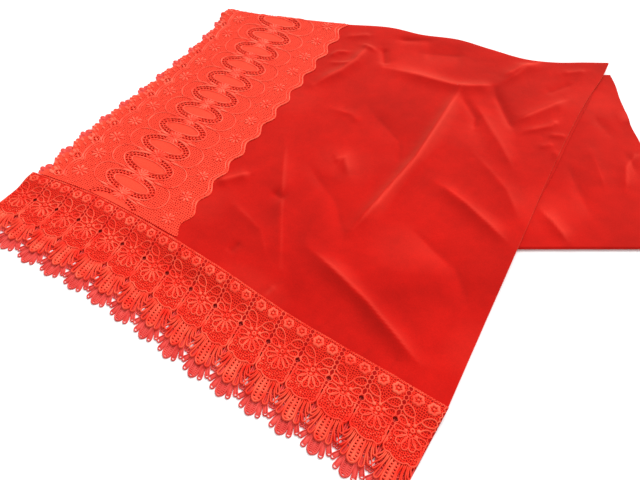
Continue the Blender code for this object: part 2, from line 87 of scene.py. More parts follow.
# Creases: route, height (below 0 for a trough), half width
mainCreases = (
    (((0.082, 0.206), (0.135, 0.183), (0.182, 0.162), (0.213, 0.162), (0.236, 0.168)), 0.0050, 0.012),
    (((0.186, 0.160), (0.159, 0.110), (0.112, 0.029), (0.058, -0.044), (0.028, -0.079)), 0.0075, 0.010),
    (((0.132, -0.009), (0.163, -0.044), (0.205, -0.102)), 0.0045, 0.012),
    (((-0.022, -0.102), (0.041, -0.171), (0.090, -0.240)), 0.0055, 0.012),
    (((-0.018, 0.168), (0.020, 0.195), (0.043, 0.218), (0.063, 0.252)), 0.0050, 0.011),
    (((-0.134, -0.009), (-0.092, 0.006)), 0.0035, 0.009),
    (((0.248, 0.095), (0.328, 0.137)), 0.0035, 0.010),
    (((0.244, 0.180), (0.278, 0.203), (0.324, 0.222)), 0.0040, 0.012),
    (((-0.051, 0.072), (-0.053, -0.040), (-0.051, -0.130)), 0.0025, 0.012),
)
smallCreases = (
    (((0.0861, 0.252), (0.0862, 0.209)), -0.0024, 0.008),
    (((0.054, 0.257), (0.074, 0.243)), 0.0014, 0.005),
    (((0.104, 0.270), (0.165, 0.268)), -0.0022, 0.009),
    (((0.186, 0.148), (0.199, 0.101), (0.193, 0.079)), -0.0016, 0.007),
    (((0.196, 0.146), (0.221, 0.057), (0.230, 0.010)), 0.0018, 0.014),
    (((0.232, 0.162), (0.237, 0.128), (0.241, 0.101), (0.245, 0.077)), -0.0026, 0.008),
    (((0.250, 0.075), (0.291, 0.086), (0.305, 0.097)), 0.0020, 0.006),
    (((0.286, 0.070), (0.309, 0.068)), 0.0014, 0.005),
    (((0.269, 0.049), (0.289, 0.054)), 0.0012, 0.005),
    (((0.238, 0.166), (0.267, 0.187), (0.287, 0.207)), 0.0016, 0.007),
    (((0.286, 0.045), (0.291, 0.022)), 0.0010, 0.005),
    (((0.006, 0.229), (0.018, 0.239), (0.036, 0.239)), 0.0016, 0.005),
    (((0.006, 0.216), (0.035, 0.211)), 0.0012, 0.005),
    (((0.005, 0.120), (0.034, 0.109), (0.044, 0.094)), 0.0012, 0.008),
    (((0.007, 0.027), (0.023, 0.032), (0.028, 0.002)), 0.0016, 0.009),
    (((0.043, -0.222), (0.032, -0.232)), -0.0016, 0.006),
    (((0.069, -0.231), (0.059, -0.246)), -0.0016, 0.006),
    (((0.001, -0.192), (-0.012, -0.202)), -0.0014, 0.006),
    (((-0.066, -0.163), (-0.056, -0.152)), 0.0012, 0.006),
    (((-0.110, -0.110), (-0.098, -0.095)), -0.0012, 0.006),
    (((-0.065, -0.022), (-0.049, -0.036)), -0.0022, 0.009),
    (((0.140, 0.240), (0.205, 0.232)), -0.0020, 0.020),
    (((0.060, 0.120), (0.095, 0.060), (0.090, 0.010)), -0.0018, 0.018),
    (((0.100, -0.080), (0.140, -0.130), (0.150, -0.180)), -0.0016, 0.016),
    (((0.185, 0.040), (0.215, -0.020), (0.222, -0.060)), 0.0014, 0.013),
    (((-0.020, 0.020), (0.012, -0.040), (0.020, -0.090)), -0.0014, 0.014),
    (((-0.110, -0.040), (-0.075, -0.080), (-0.066, -0.120)), 0.0012, 0.012),
    (((0.030, 0.275), (0.070, 0.279)), 0.0012, 0.007),
    (((0.330, 0.190), (0.370, 0.196)), 0.0014, 0.008),
    (((0.300, 0.150), (0.345, 0.172)), -0.0014, 0.008),
    (((-0.200, 0.050), (-0.150, 0.110)), 0.0012, 0.016),
    (((-0.250, 0.020), (-0.205, 0.000)), -0.0010, 0.014),
    (((-0.130, 0.210), (-0.090, 0.250)), 0.0012, 0.014),
)
tailCreases = (
    (((0.252, -0.044), (0.272, -0.092)), 0.0030, 0.010),
    (((0.398, 0.050), (0.372, 0.018), (0.360, -0.020)), 0.0025, 0.010),
    (((0.398, 0.120), (0.403, 0.095)), 0.0018, 0.009),
    (((0.380, 0.044), (0.384, 0.010)), -0.0014, 0.008),
    (((0.300, 0.030), (0.312, -0.060)), -0.0016, 0.012),
    (((0.335, 0.060), (0.338, -0.020)), 0.0014, 0.014),
    (((0.395, -0.030), (0.385, -0.080)), 0.0016, 0.009),
    (((0.360, 0.110), (0.372, 0.070)), -0.0014, 0.010),
)


def curveThrough(points):  # smooth, read by the share of its length
    points = np.array(points, float)
    at = np.concatenate([[0.0], np.cumsum(np.linalg.norm(np.diff(points, axis=0), axis=1))])
    at /= at[-1]
    slopes = np.gradient(points, at, axis=0)

    def read(share):
        share = np.asarray(share, float)
        i = np.clip(np.searchsorted(at, share, side="right") - 1, 0, len(at) - 2)
        span = (at[i + 1] - at[i])[..., None]
        t = (share[..., None] - at[i][..., None]) / span
        near = points[i] * (1 + 2 * t) * (1 - t) ** 2 + slopes[i] * span * t * (1 - t) ** 2
        far = points[i + 1] * (3 - 2 * t) * t**2 - slopes[i + 1] * span * t**2 * (1 - t)
        return near + far

    return read


def ease(t):
    t = np.clip(t, 0.0, 1.0)
    return t * t * (3 - 2 * t)


def creaseHeight(x, y, route, height, halfWidth):
    route = np.array(route)
    near, along = np.full(np.shape(x), np.inf), np.zeros(np.shape(x))
    for i, (a, b) in enumerate(zip(route[:-1], route[1:])):
        run = b - a
        t = np.clip(((x - a[0]) * run[0] + (y - a[1]) * run[1]) / (run @ run), 0.0, 1.0)
        away = np.hypot(x - a[0] - t * run[0], y - a[1] - t * run[1])
        closer = away < near
        near = np.where(closer, away, near)
        along = np.where(closer, (i + t) / (len(route) - 1), along)
    fade = ease(along / 0.25) * ease((1 - along) / 0.25)
    body = np.exp(-((near / halfWidth) ** 2))
    soft, reach = 0.0011, 0.42 * halfWidth  # the cloth pinches along the line of the crease
    crest = np.exp((soft - np.hypot(near, soft)) / reach)
    return height * (0.25 + 0.75 * fade) * (0.58 * body + 0.42 * crest)


hemLine, leftLine, rightLine = (curveThrough(stole[side]) for side in ("hem", "left", "right"))
foldLine, tipLine = curveThrough(stole["fold"]), curveThrough(stole["tips"])
foldOut = np.array(stole["foldOut"])
leftLength = np.linalg.norm(np.diff(np.array(stole["left"]), axis=0), axis=1).sum()


def tailShare(x, y):  # 1 over the tail, falling to 0 beside it
    beside = (x - stole["tailLeft"] + stole["leftRamp"]) / stole["leftRamp"]
    before = (y - stole["tailFront"] + stole["frontSpan"] + stole["frontRamp"]) / stole["frontRamp"]
    return ease(beside) * ease(before)


def topHeight(x, y):  # upper face of the top panel
    hem, fold = np.array(stole["hem"]), np.array(stole["fold"])
    fromHem = y - np.interp(x, hem[:, 0], hem[:, 1])
    fromFold = np.interp(x, fold[:, 0], fold[:, 1]) - y
    z = stole["twoPlies"] + stole["tail"] * tailShare(x, y)
    z = z + stole["hemRise"] * ease(1 - fromHem / 0.035) + stole["foldRise"] * ease(1 - fromFold / 0.050)
    creases = sum(creaseHeight(x, y, *crease) for crease in mainCreases)
    creases = creases + stole["smallCreases"] * sum(creaseHeight(x, y, *crease) for crease in smallCreases)
    return z + creases * ease((fromHem - 0.012) / 0.03) * ease((fromFold - 0.006) / 0.02)


def foldStart(u):  # where the cloth leaves the panel for the top fold, and the fold's radius
    edge = foldLine(u)
    start = edge - foldOut * (topHeight(edge[..., 0], edge[..., 1]) / 2)[..., None]
    return start, topHeight(start[..., 0], start[..., 1]) / 2


foldCorners = [foldStart(np.array(share))[0] for share in (0.0, 1.0)]


def panelPlan(u, v):  # u from left to right, v from the hem to the top fold
    low, high = hemLine(u), foldStart(u)[0]
    corners = [hemLine(0.0), hemLine(1.0), *foldCorners]
    left, right = leftLine(v), rightLine(v)
    u, v = u[..., None], v[..., None]
    left = left + v * (corners[2] - leftLine(1.0))
    right = right + v * (corners[3] - rightLine(1.0))
    square = (1 - u) * (1 - v) * corners[0] + u * (1 - v) * corners[1]
    square = square + (1 - u) * v * corners[2] + u * v * corners[3]
    return (1 - v) * low + v * high + (1 - u) * left + u * right - square


def clothPoint(u, v, depth):  # v runs 0 to 1 over the panel, to 2 round the fold, then beneath
    u, v = np.broadcast_arrays(np.asarray(u, float), np.asarray(v, float))
    flat = panelPlan(u, np.clip(v, 0.0, 1.0) - np.clip(v - 2, 0.0, 1.0) * stole["foldReturn"])
    z = topHeight(flat[..., 0], flat[..., 1]) - depth
    start, radius = foldStart(u)
    angle = np.clip(v - 1, 0.0, 1.0) * math.pi
    bent = start + foldOut * ((radius - depth) * np.sin(angle))[..., None]
    bentZ = radius + (radius - depth) * np.cos(angle)
    roundFold = (v > 1) & (v <= 2)
    plan = np.where(roundFold[..., None], bent, flat)
    z = np.where(v > 2, depth, np.where(roundFold, bentZ, z))
    return np.concatenate([plan, z[..., None]], axis=-1)


# Materials
def hexColour(code):  # sRGB hex to linear
    channels = [int(code[i:i + 2], 16) / 255 for i in (1, 3, 5)]
    return (*[c / 12.92 if c <= 0.04045 else ((c + 0.055) / 1.055) ** 2.4 for c in channels], 1.0)


def addNode(tree, kind, inputs=(), **settings):
    made = tree.nodes.new(kind)
    for name, value in settings.items():
        setattr(made, name, value)
    for name, value in dict(inputs).items():
        if isinstance(value, bpy.types.NodeSocket):
            tree.links.new(value, made.inputs[name])
        else:
            made.inputs[name].default_value = value
    return made


def newMaterial(name, settings):
    made = bpy.data.materials.new(name)
    made.use_nodes = True
    shader = made.node_tree.nodes["Principled BSDF"]
    for socket, value in settings.items():
        shader.inputs[socket].default_value = value
    return made, made.node_tree, shader


def pileVelvet(look):
    # Woven silk-like pile, cut short and brushed: dark where one looks into it, pale where it is
    # seen from the side, with patches where the nap lies another way.
    made, tree, shader = newMaterial("cut_pile_velvet", {
        "Roughness": look["roughness"], "Metallic": 0.0, "IOR": 1.46, "Specular IOR Level": look["specular"],
        "Sheen Weight": look["sheen"], "Sheen Roughness": look["sheenRoughness"],
        "Sheen Tint": hexColour(look["sheenTint"]),
    })
    place = addNode(tree, "ShaderNodeTexCoord").outputs["Object"]
    nap = addNode(tree, "ShaderNodeTexNoise", {"Vector": place, "Scale": 1 / look["napPatch"], "Detail": 3.0})
    rub = addNode(tree, "ShaderNodeTexNoise", {"Vector": place, "Scale": 1 / look["rub"], "Detail": 2.0})
    pile = addNode(tree, "ShaderNodeTexNoise", {"Vector": place, "Scale": 1 / look["pile"], "Detail": 2.0})
    napTone = addNode(tree, "ShaderNodeMapRange", {"Value": nap.outputs["Fac"], "From Min": 0.3, "From Max": 0.7})
    tone = addNode(tree, "ShaderNodeMix", {
        "Factor": napTone.outputs["Result"], "A": hexColour(look["dark"]), "B": hexColour(look["light"]),
    }, data_type="RGBA")
    fleck = addNode(tree, "ShaderNodeMapRange", {
        "Value": rub.outputs["Fac"], "From Min": 0.35, "From Max": 0.65, "To Min": 0.95, "To Max": 1.04,
    })
    grain = addNode(tree, "ShaderNodeMapRange", {
        "Value": pile.outputs["Fac"], "From Min": 0.3, "From Max": 0.7, "To Min": 0.93, "To Max": 1.06,
    })
    both = addNode(tree, "ShaderNodeMath", {0: fleck.outputs["Result"], 1: grain.outputs["Result"]},
                   operation="MULTIPLY")
    # painted light and shade: the tone attribute scales the colour from its painted shade to its painted highlight
    paintedShadeValue = addNode(tree, "ShaderNodeAttribute", attribute_name="tone").outputs["Fac"]
    shade = addNode(tree, "ShaderNodeMapRange", {
        "Value": paintedShadeValue, "From Min": 0.0, "From Max": 1.0, "To Min": look["deepest"], "To Max": look["palest"],
    })
    # painted sheen: the palest crests are mixed towards a pale colour
    paintedSheen = addNode(tree, "ShaderNodeMapRange", {"Value": paintedShadeValue, "From Min": 0.55, "From Max": 1.15,
                                                 "To Min": 0.0, "To Max": look["paintedSheen"]})
    shaded = addNode(tree, "ShaderNodeMath", {0: both.outputs["Value"], 1: shade.outputs["Result"]},
                     operation="MULTIPLY")
    plain = addNode(tree, "ShaderNodeVectorMath", {
        "Vector": tone.outputs["Result"], "Scale": shaded.outputs["Value"],
    }, operation="SCALE")
    colour = addNode(tree, "ShaderNodeMix", {
        "Factor": paintedSheen.outputs["Result"], "A": plain.outputs["Vector"], "B": hexColour(look["paintedSheenColour"]),
    }, data_type="RGBA")
    tree.links.new(colour.outputs["Result"], shader.inputs["Base Color"])
    soft = addNode(tree, "ShaderNodeBump", {
        "Height": rub.outputs["Fac"], "Strength": 0.5, "Distance": look["rubDepth"],
    })
    fine = addNode(tree, "ShaderNodeBump", {
        "Height": pile.outputs["Fac"], "Strength": 0.5, "Distance": look["pileDepth"],
        "Normal": soft.outputs["Normal"],
    })
    tree.links.new(fine.outputs["Normal"], shader.inputs["Normal"])
    return made


def laceGround(name, look, paintedShadeLine=None):
    # Embroidered net of spun thread: matt bars round small holes, through which the cloth below shows; the holes are
    # painted, not cut, in a dark colour that is painted shade. The net's own holes are finer than a millimetre, and are
    # drawn at look["hole"].
    made, tree, shader = newMaterial(name, {
        "Roughness": look["roughness"], "Metallic": 0.0, "IOR": 1.5, "Specular IOR Level": 0.12,
        "Sheen Weight": 0.1, "Sheen Roughness": 0.5, "Sheen Tint": hexColour(look["thread"]),
    })
    lay = addNode(tree, "ShaderNodeUVMap", uv_map="lay").outputs["UV"]
    net = addNode(tree, "ShaderNodeTexVoronoi", {
        "Vector": lay, "Scale": 1 / look["hole"], "Randomness": look["unevenness"],
    }, voronoi_dimensions="2D", feature="DISTANCE_TO_EDGE")
    bars = addNode(tree, "ShaderNodeMapRange", {
        "Value": net.outputs["Distance"], "From Min": look["bar"], "From Max": look["bar"] + 0.10,
        "To Min": 1.0, "To Max": 0.0,
    })
    filled = addNode(tree, "ShaderNodeAttribute", attribute_name="filled")
    solid = addNode(tree, "ShaderNodeMath", {0: bars.outputs["Result"], 1: filled.outputs["Fac"]},
                    operation="MAXIMUM")
    stitch = addNode(tree, "ShaderNodeTexNoise", {"Vector": lay, "Scale": 1 / look["stitch"], "Detail": 2.0})
    tint = addNode(tree, "ShaderNodeMapRange", {
        "Value": stitch.outputs["Fac"], "From Min": 0.3, "From Max": 0.7, "To Min": 0.0, "To Max": 1.0,
    })
    thread = addNode(tree, "ShaderNodeMix", {
        "Factor": tint.outputs["Result"], "A": hexColour(look["thread"]), "B": hexColour(look["worn"]),
    }, data_type="RGBA")
    # painted shade: the net's holes take the dark colour of the cloth below in shade
    colour = addNode(tree, "ShaderNodeMix", {
        "Factor": solid.outputs["Value"], "A": hexColour(look["below"]), "B": thread.outputs["Result"],
    }, data_type="RGBA")
    shown = colour.outputs["Result"]
    if paintedShadeLine:  # painted shade along the line where two repeats meet, standing for small gaps that are not cut
        spacing, reach, ends = paintedShadeLine
        places = addNode(tree, "ShaderNodeSeparateXYZ", {"Vector": lay})
        away = addNode(tree, "ShaderNodeMath", {0: places.outputs["X"], 1: spacing / 2}, operation="PINGPONG")
        beside = addNode(tree, "ShaderNodeMapRange", {
            "Value": away.outputs["Value"], "From Min": reach - 0.0004, "From Max": reach, "To Min": 1.0, "To Max": 0.0,
        })
        before = addNode(tree, "ShaderNodeMath", {0: places.outputs["Y"], 1: ends}, operation="LESS_THAN")
        paintedGapShade = addNode(tree, "ShaderNodeMath", {0: beside.outputs["Result"], 1: before.outputs["Value"]},
                       operation="MULTIPLY")
        shown = addNode(tree, "ShaderNodeMix", {
            "Factor": paintedGapShade.outputs["Value"], "A": shown, "B": hexColour(look["paintedGapShade"]),
        }, data_type="RGBA").outputs["Result"]
    tree.links.new(shown, shader.inputs["Base Color"])
    relief = addNode(tree, "ShaderNodeBump", {
        "Height": solid.outputs["Value"], "Strength": 0.7, "Distance": look["depth"],
    })
    weave = addNode(tree, "ShaderNodeBump", {
        "Height": stitch.outputs["Fac"], "Strength": 0.4, "Distance": look["depth"] / 3,
        "Normal": relief.outputs["Normal"],
    })
    tree.links.new(weave.outputs["Normal"], shader.inputs["Normal"])
    return made


def stitchedThread(name, look):
    # Satin stitch and gimp cord of spun thread: a soft gloss, and fine ridges across each cord,
    # drawn coarser than the 0.3 mm thread so that they show.
    made, tree, shader = newMaterial(name, {
        "Roughness": look["gloss"], "Metallic": 0.0, "IOR": 1.5, "Specular IOR Level": 0.2,
        "Sheen Weight": 0.15, "Sheen Roughness": 0.4, "Sheen Tint": hexColour(look["raised"]),
    })
    place = addNode(tree, "ShaderNodeTexCoord").outputs["Object"]
    shade = addNode(tree, "ShaderNodeTexNoise", {"Vector": place, "Scale": 1 / 0.012, "Detail": 2.0})
    twist = addNode(tree, "ShaderNodeTexNoise", {"Vector": place, "Scale": 1 / look["stitch"], "Detail": 2.0})
    tint = addNode(tree, "ShaderNodeMapRange", {"Value": shade.outputs["Fac"], "From Min": 0.3, "From Max": 0.7})
    colour = addNode(tree, "ShaderNodeMix", {
        "Factor": tint.outputs["Result"], "A": hexColour(look["thread"]), "B": hexColour(look["raised"]),
    }, data_type="RGBA")
    tree.links.new(colour.outputs["Result"], shader.inputs["Base Color"])
    ridges = addNode(tree, "ShaderNodeBump", {
        "Height": twist.outputs["Fac"], "Strength": 0.5, "Distance": look["depth"] / 2,
    })
    tree.links.new(ridges.outputs["Normal"], shader.inputs["Normal"])
    return made


# Meshes
def meshPiece(name, points, faces, finish, lay=None, marks=None):
    mesh = bpy.data.meshes.new(name)
    points = points - np.array((*stole["centre"], 0.0))
    mesh.from_pydata(points.tolist(), [], faces)
    mesh.materials.append(finish)
    if lay is not None:  # the flat pattern, in metres
        corners = np.empty(len(mesh.loops), np.int32)
        mesh.loops.foreach_get("vertex_index", corners)
        mesh.uv_layers.new(name="lay").data.foreach_set("uv", lay[corners].astype(np.float32).ravel())
    if marks is not None:  # one value a point, read by the material
        title, values = marks
        mesh.attributes.new(title, "FLOAT", "POINT").data.foreach_set("value", values.astype(np.float32))
    mesh.shade_smooth()
    mesh.set_sharp_from_angle(angle=math.radians(55))
    made = bpy.data.objects.new(name, mesh)
    bpy.context.scene.collection.objects.link(made)
    return made


def gridFaces(rows, columns):
    at = np.arange(rows * columns).reshape(rows, columns)
    return np.stack([at[:-1, :-1], at[:-1, 1:], at[1:, 1:], at[1:, :-1]], -1).reshape(-1, 4)


def shell(name, outer, inner, faces, finish, lay=None, marks=None):
    # A closed wall between two faces that share their polygons, anticlockwise seen from outside
    count = len(outer)
    faces = np.asarray(faces)
    ends = np.roll(faces, -1, axis=1)
    rim = ~np.isin((faces * count + ends).ravel(), (ends * count + faces).ravel())
    a, b = faces.ravel()[rim], ends.ravel()[rim]
    sides = np.column_stack([b, a, a + count, b + count])
    everyFace = faces.tolist() + (faces[:, ::-1] + count).tolist() + sides.tolist()
    lay = None if lay is None else np.concatenate([lay, lay])
    marks = None if marks is None else (marks[0], np.concatenate([marks[1], marks[1]]))
    return meshPiece(name, np.concatenate([outer, inner]), everyFace, finish, lay, marks)


def dressed(piece, slot, *nodes):
    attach(piece, "root")
    if nodes:
        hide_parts(*nodes)
    return piece


def areaOf(points, faces):  # of the polygons, fanned from their first corner
    faces = np.asarray(faces)
    a = points[faces[:, 0]]
    total = 0.0
    for k in range(1, faces.shape[1] - 1):
        cross = np.cross(points[faces[:, k]] - a, points[faces[:, k + 1]] - a)
        total += np.linalg.norm(cross, axis=1).sum() / 2
    return total


# The velvet
velvetLook = {
    "dark": "#b60c07", "light": "#c8120b", "roughness": 0.9, "specular": 0.1,
    "sheen": 1.0, "sheenRoughness": 0.42, "sheenTint": "#ff8266",
    # painted light and shade on the velvet: strengths for slopes and crests, the range from painted shade to painted
    # highlight, and a painted sheen on the crests
    "paintedSlopeShade": 0.50, "paintedCrestHighlight": 0.38, "crestWidth": 0.0028,
    "deepest": 0.70, "palest": 1.30, "paintedSheen": 0.26, "paintedSheenColour": "#f5705a",
    "napPatch": 0.090, "rub": 0.016, "rubDepth": 0.0007,
    "pile": 0.0014, "pileDepth": 0.0002,  # the pile is finer, and is drawn coarser so that it shows
}
paintedPaleRiseWay = (-0.96, -0.28)  # painted light and shade: slopes that rise this way are painted paler, slopes that fall this way darker
velvetMesh = {"columns": 218, "rows": 196, "turnSteps": 10, "returnSteps": 3, "edgeRound": 0.0008}


def roundedEdge(away, size):  # how far a face sinks this near to its own edge
    t = np.clip(1 - away / size, 0.0, 1.0)
    return size * (1 - np.sqrt(1 - t * t))


def paintedShadeAndMottle(x, y, heightAt, creases):  # painted light and shade: paler on slopes turned towards the lamp and along the crests, darker on slopes turned away, with random mottling
    step = 0.002
    rise = heightAt(x + paintedPaleRiseWay[0] * step, y + paintedPaleRiseWay[1] * step) - heightAt(x - paintedPaleRiseWay[0] * step, y - paintedPaleRiseWay[1] * step)
    tone = 0.5 + velvetLook["paintedSlopeShade"] * rise / (2 * step)
    tone = tone + 0.07 * np.sin(31 * x + 17 * y + 0.6) + 0.06 * np.sin(43 * y - 14 * x + 1.0)
    for route, height, _ in creases:
        line = creaseHeight(x, y, route, 1.0, velvetLook["crestWidth"])
        tone = tone + velvetLook["paintedCrestHighlight"] * math.copysign(abs(height / 0.005) ** 0.6, height) * line
    return tone


def velvetTop(finish):
    size = velvetMesh["edgeRound"]
    near = np.array([0.0, 0.15, 0.45, 1.0]) * size
    left, width = stole["picots"] / stole["panelWidth"], stole["panelWidth"]
    u = np.concatenate([
        left + near[:-1] / width, np.linspace(left + size / width, 1 - size / width, velvetMesh["columns"]),
        1 - near[-2::-1] / width,
    ])
    v = np.concatenate([
        near[:-1] / stole["panelLength"], np.linspace(size / stole["panelLength"], 1, velvetMesh["rows"]),
        1 + np.arange(1, velvetMesh["turnSteps"] + 1) / velvetMesh["turnSteps"],
        2 + np.arange(1, velvetMesh["returnSteps"] + 1) / velvetMesh["returnSteps"],
    ])
    u, v = np.meshgrid(u, v)
    sink = np.maximum(roundedEdge((u - left) * width, size), roundedEdge((1 - u) * width, size))
    sink = np.maximum(sink, roundedEdge(v * stole["panelLength"], size))
    outer = clothPoint(u, v, 0.0)
    inner = clothPoint(u, v, stole["velvet"])
    share = (sink / stole["velvet"])[..., None]
    outer, inner = outer + (inner - outer) * share, inner + (outer - inner) * share
    faces = gridFaces(*u.shape)
    outer, inner = outer.reshape(-1, 3), inner.reshape(-1, 3)
    tone = paintedShadeAndMottle(outer[:, 0], outer[:, 1], topHeight, mainCreases + smallCreases)
    piece = shell("velvet_top_cloth", outer, inner, faces, finish, marks=("tone", tone))
    dressed(piece, "velvet", "velvet_top")
    return piece


def lip(v):  # how far the lower ply's right edge shows past the top one's
    return -0.0015 + 0.0056 * ease((v - 0.42) / 0.2) * ease((0.93 - v) / 0.1)


def velvetPlies(finish):
    # All the plies under the top panel: flat beneath, stepped where the tail and the laces go under
    width, length, seam = stole["panelWidth"], stole["panelLength"], stole["seam"]
    left, tuck = stole["picots"] / width, stole["tuck"] / width
    u = np.concatenate([
        np.linspace(left, left + tuck, 6), np.linspace(left + tuck + seam / width, 1 - tuck - seam / width, 96),
    ])
    edge = np.linspace(0, 1, 9) ** 0.8
    v = np.concatenate([
        np.linspace(0, stole["hemTuck"], 5) / length,
        np.linspace((stole["hemTuck"] + seam) / length, 1 - stole["foldReturn"] - 2.6 * seam / length, 96),
        np.linspace(1 - stole["foldReturn"] - 1.3 * seam / length, 1.0, 5),
        1 + np.linspace(0.06, 0.46, 7),
    ])
    u, v = np.meshgrid(np.concatenate([u, 1 - tuck + edge * 0]), v)
    u[:, -len(edge):] = 1 - tuck + edge * (tuck + lip(v[:, -len(edge):]) / width)
    top = clothPoint(u, v, stole["velvet"] + seam)
    top[:, -1, 2] -= 2 * seam
    top[:, -2, 2] -= 0.6 * seam
    under = top.copy()
    under[..., 2] = 0.0
    under[:, :6, 2] = 0.0013
    under[:5, :, 2] = 0.0019
    overTail = (stole["tail"] + seam) * tailShare(top[..., 0], top[..., 1])
    tucked = u > 1 - tuck - 1e-6
    under[..., 2] = np.where(tucked, np.maximum(under[..., 2], overTail), under[..., 2])
    inFold = v > 1 - stole["foldReturn"] - 2 * seam / length
    under[..., 2] = np.where(inFold, np.maximum(under[..., 2], stole["velvet"] + seam), under[..., 2])
    radius = foldStart(u)[1]
    under[..., 2] = np.where(v > 1, 2 * radius - top[..., 2], under[..., 2])
    under[:, -1, 2] += seam
    faces = gridFaces(*u.shape)
    # painted shade: the hidden plies are painted a little darker than open cloth
    tone = np.full(u.size, 0.4)
    piece = shell("velvet_hidden_plies", top.reshape(-1, 3), under.reshape(-1, 3), faces, finish, marks=("tone", tone))
    return dressed(piece, "velvet", "velvet_layers")


def tailHeight(x, y):
    return sum(creaseHeight(x, y, *crease) for crease in tailCreases)


def velvetTail(finish):
    # The doubled tail: one wall turned back on itself at its rounded front fold
    seam, thick = stole["seam"], stole["tail"]
    stations = np.linspace(0.36, 0.985, 76)
    beside = panelPlan(1 - (stole["tuck"] - 2 * seam) / stole["panelWidth"] + 0 * stations, stations)
    right = stole["tailRight"]
    x = np.concatenate([beside[:, 0], right - 0.0008 + np.array([0.0, 0.0005, 0.0008])])
    back = np.append(np.minimum(beside[:, 1], 0.195), [0.195] * 3)
    half = thick / 2
    low = stole["tailFront"] + half
    keep = back > low + 0.008
    x, back = x[keep], back[keep]
    steps = np.linspace(1.0, 0.0, 80)
    turn = np.linspace(0, math.pi, 14)[1:-1]

    def section(sink):  # share of the way back, then place, height
        upper = [(t, 0.0, thick - sink) for t in steps]
        bend = [(0.0, -(half - sink) * math.sin(a), half + (half - sink) * math.cos(a)) for a in turn]
        return np.array(upper + bend + [(t, 0.0, sink) for t in steps[::-1]])

    def face(sink):
        rows = section(sink)
        y = low + rows[:, 0:1] * (back - low) + rows[:, 1:2]
        across = np.broadcast_to(x, y.shape)
        wave = 0.0015 * np.sin((y + 0.02) / 0.026) + 0.0005 * np.sin(y / 0.0085)
        across = across + wave * ease((across - 0.33) / 0.07)
        upper = ease((rows[:, 2:3] - sink) / (thick - 2 * sink))
        bumps = tailHeight(across, y)
        edge = np.array(stole["right"])
        bumps = bumps * ease((across - np.interp(y, edge[:, 1], edge[:, 0]) - 0.010) / 0.02)
        return np.dstack([across, y, rows[:, 2:3] + upper * bumps])

    outer, inner = face(0.0), face(half - seam)
    rim = 0.35 * (inner[:, -1] - outer[:, -1])
    outer[:, -1] += rim
    faces = gridFaces(*outer.shape[:2])[:, ::-1]
    outer, inner = outer.reshape(-1, 3), inner.reshape(-1, 3)
    tone = paintedShadeAndMottle(outer[:, 0], outer[:, 1], tailHeight, tailCreases)
    piece = shell("velvet_tail_cloth", outer, inner, faces, finish, marks=("tone", tone))
    dressed(piece, "velvet", "velvet_tail")
    return piece


# Lace
def insidePolygon(points, polygon):
    found = np.zeros(len(points), bool)
    for a, b in zip(polygon, np.roll(polygon, -1, axis=0)):
        crosses = (a[1] > points[:, 1]) != (b[1] > points[:, 1])
        rise = b[1] - a[1] if b[1] != a[1] else 1.0
        found ^= crosses & (points[:, 0] < a[0] + (points[:, 1] - a[1]) * (b[0] - a[0]) / rise)
    return found


def cutLace(outline, holes, inner):
    # Triangles of a flat piece: outline, convex holes cut through it, points between
    rings = [np.array(outline, float)] + [np.array(hole, float) for hole in holes]
    inner = np.array(inner, float)
    inner = inner[insidePolygon(inner, rings[0])]
    if holes:
        middles = np.array([ring.mean(axis=0) for ring in rings[1:]])
        reach = np.array([np.linalg.norm(ring - ring.mean(axis=0), axis=1).max() for ring in rings[1:]])
        gap = np.linalg.norm(inner[:, None] - middles[None], axis=2) - reach[None]
        inner = inner[gap.min(axis=1) > 0.0008]
    points, edges, ringOf = [], [], []
    for number, ring in enumerate(rings):
        first = len(points)
        points += ring.tolist()
        ringOf += [number] * len(ring)
        edges += [(first + i, first + (i + 1) % len(ring)) for i in range(len(ring))]
    points += inner.tolist()
    ringOf += [-1] * len(inner)
    flat, _, faces, fromPoints, *_ = delaunay_2d_cdt(points, edges, [], 0, 1e-7, True)
    flat = np.array([(p.x, p.y) for p in flat])
    faces = np.array(faces)
    ring = np.array([ringOf[came[0]] if came else -1 for came in fromPoints])[faces]
    inHole = (ring[:, 0] > 0) & (ring[:, 0] == ring[:, 1]) & (ring[:, 1] == ring[:, 2])
    faces = faces[insidePolygon(flat[faces].mean(axis=1), rings[0]) & ~inHole]
    a, b, c = (flat[faces][:, i] for i in range(3))
    turned = (b[:, 0] - a[:, 0]) * (c[:, 1] - a[:, 1]) < (b[:, 1] - a[:, 1]) * (c[:, 0] - a[:, 0])
    faces = np.where(turned[:, None], faces[:, ::-1], faces)
    used, index = np.unique(faces, return_inverse=True)
    return flat[used], index.reshape(-1, 3)


def ellipse(x, y, halfX, halfY, corners=8, turn=0.0):
    angles = np.arange(corners) / corners * 2 * math.pi + turn
    return np.column_stack([x + halfX * np.cos(angles), y + halfY * np.sin(angles)])


def newThreads():
    return {"points": [], "quads": [], "triangles": [], "count": 0}


def addThreads(threads, points, quads, triangles=()):
    first = threads["count"]
    threads["points"].append(points)
    threads["quads"].append(np.asarray(quads, int).reshape(-1, 4) + first)
    threads["triangles"].append(np.asarray(triangles, int).reshape(-1, 3) + first)
    threads["count"] += len(points)


cordSection = np.array([(-1.0, 0.0), (-0.66, 0.82), (0.0, 1.0), (0.66, 0.82), (1.0, 0.0)])
sunk = 0.00015  # raised work is let into its ground by this much


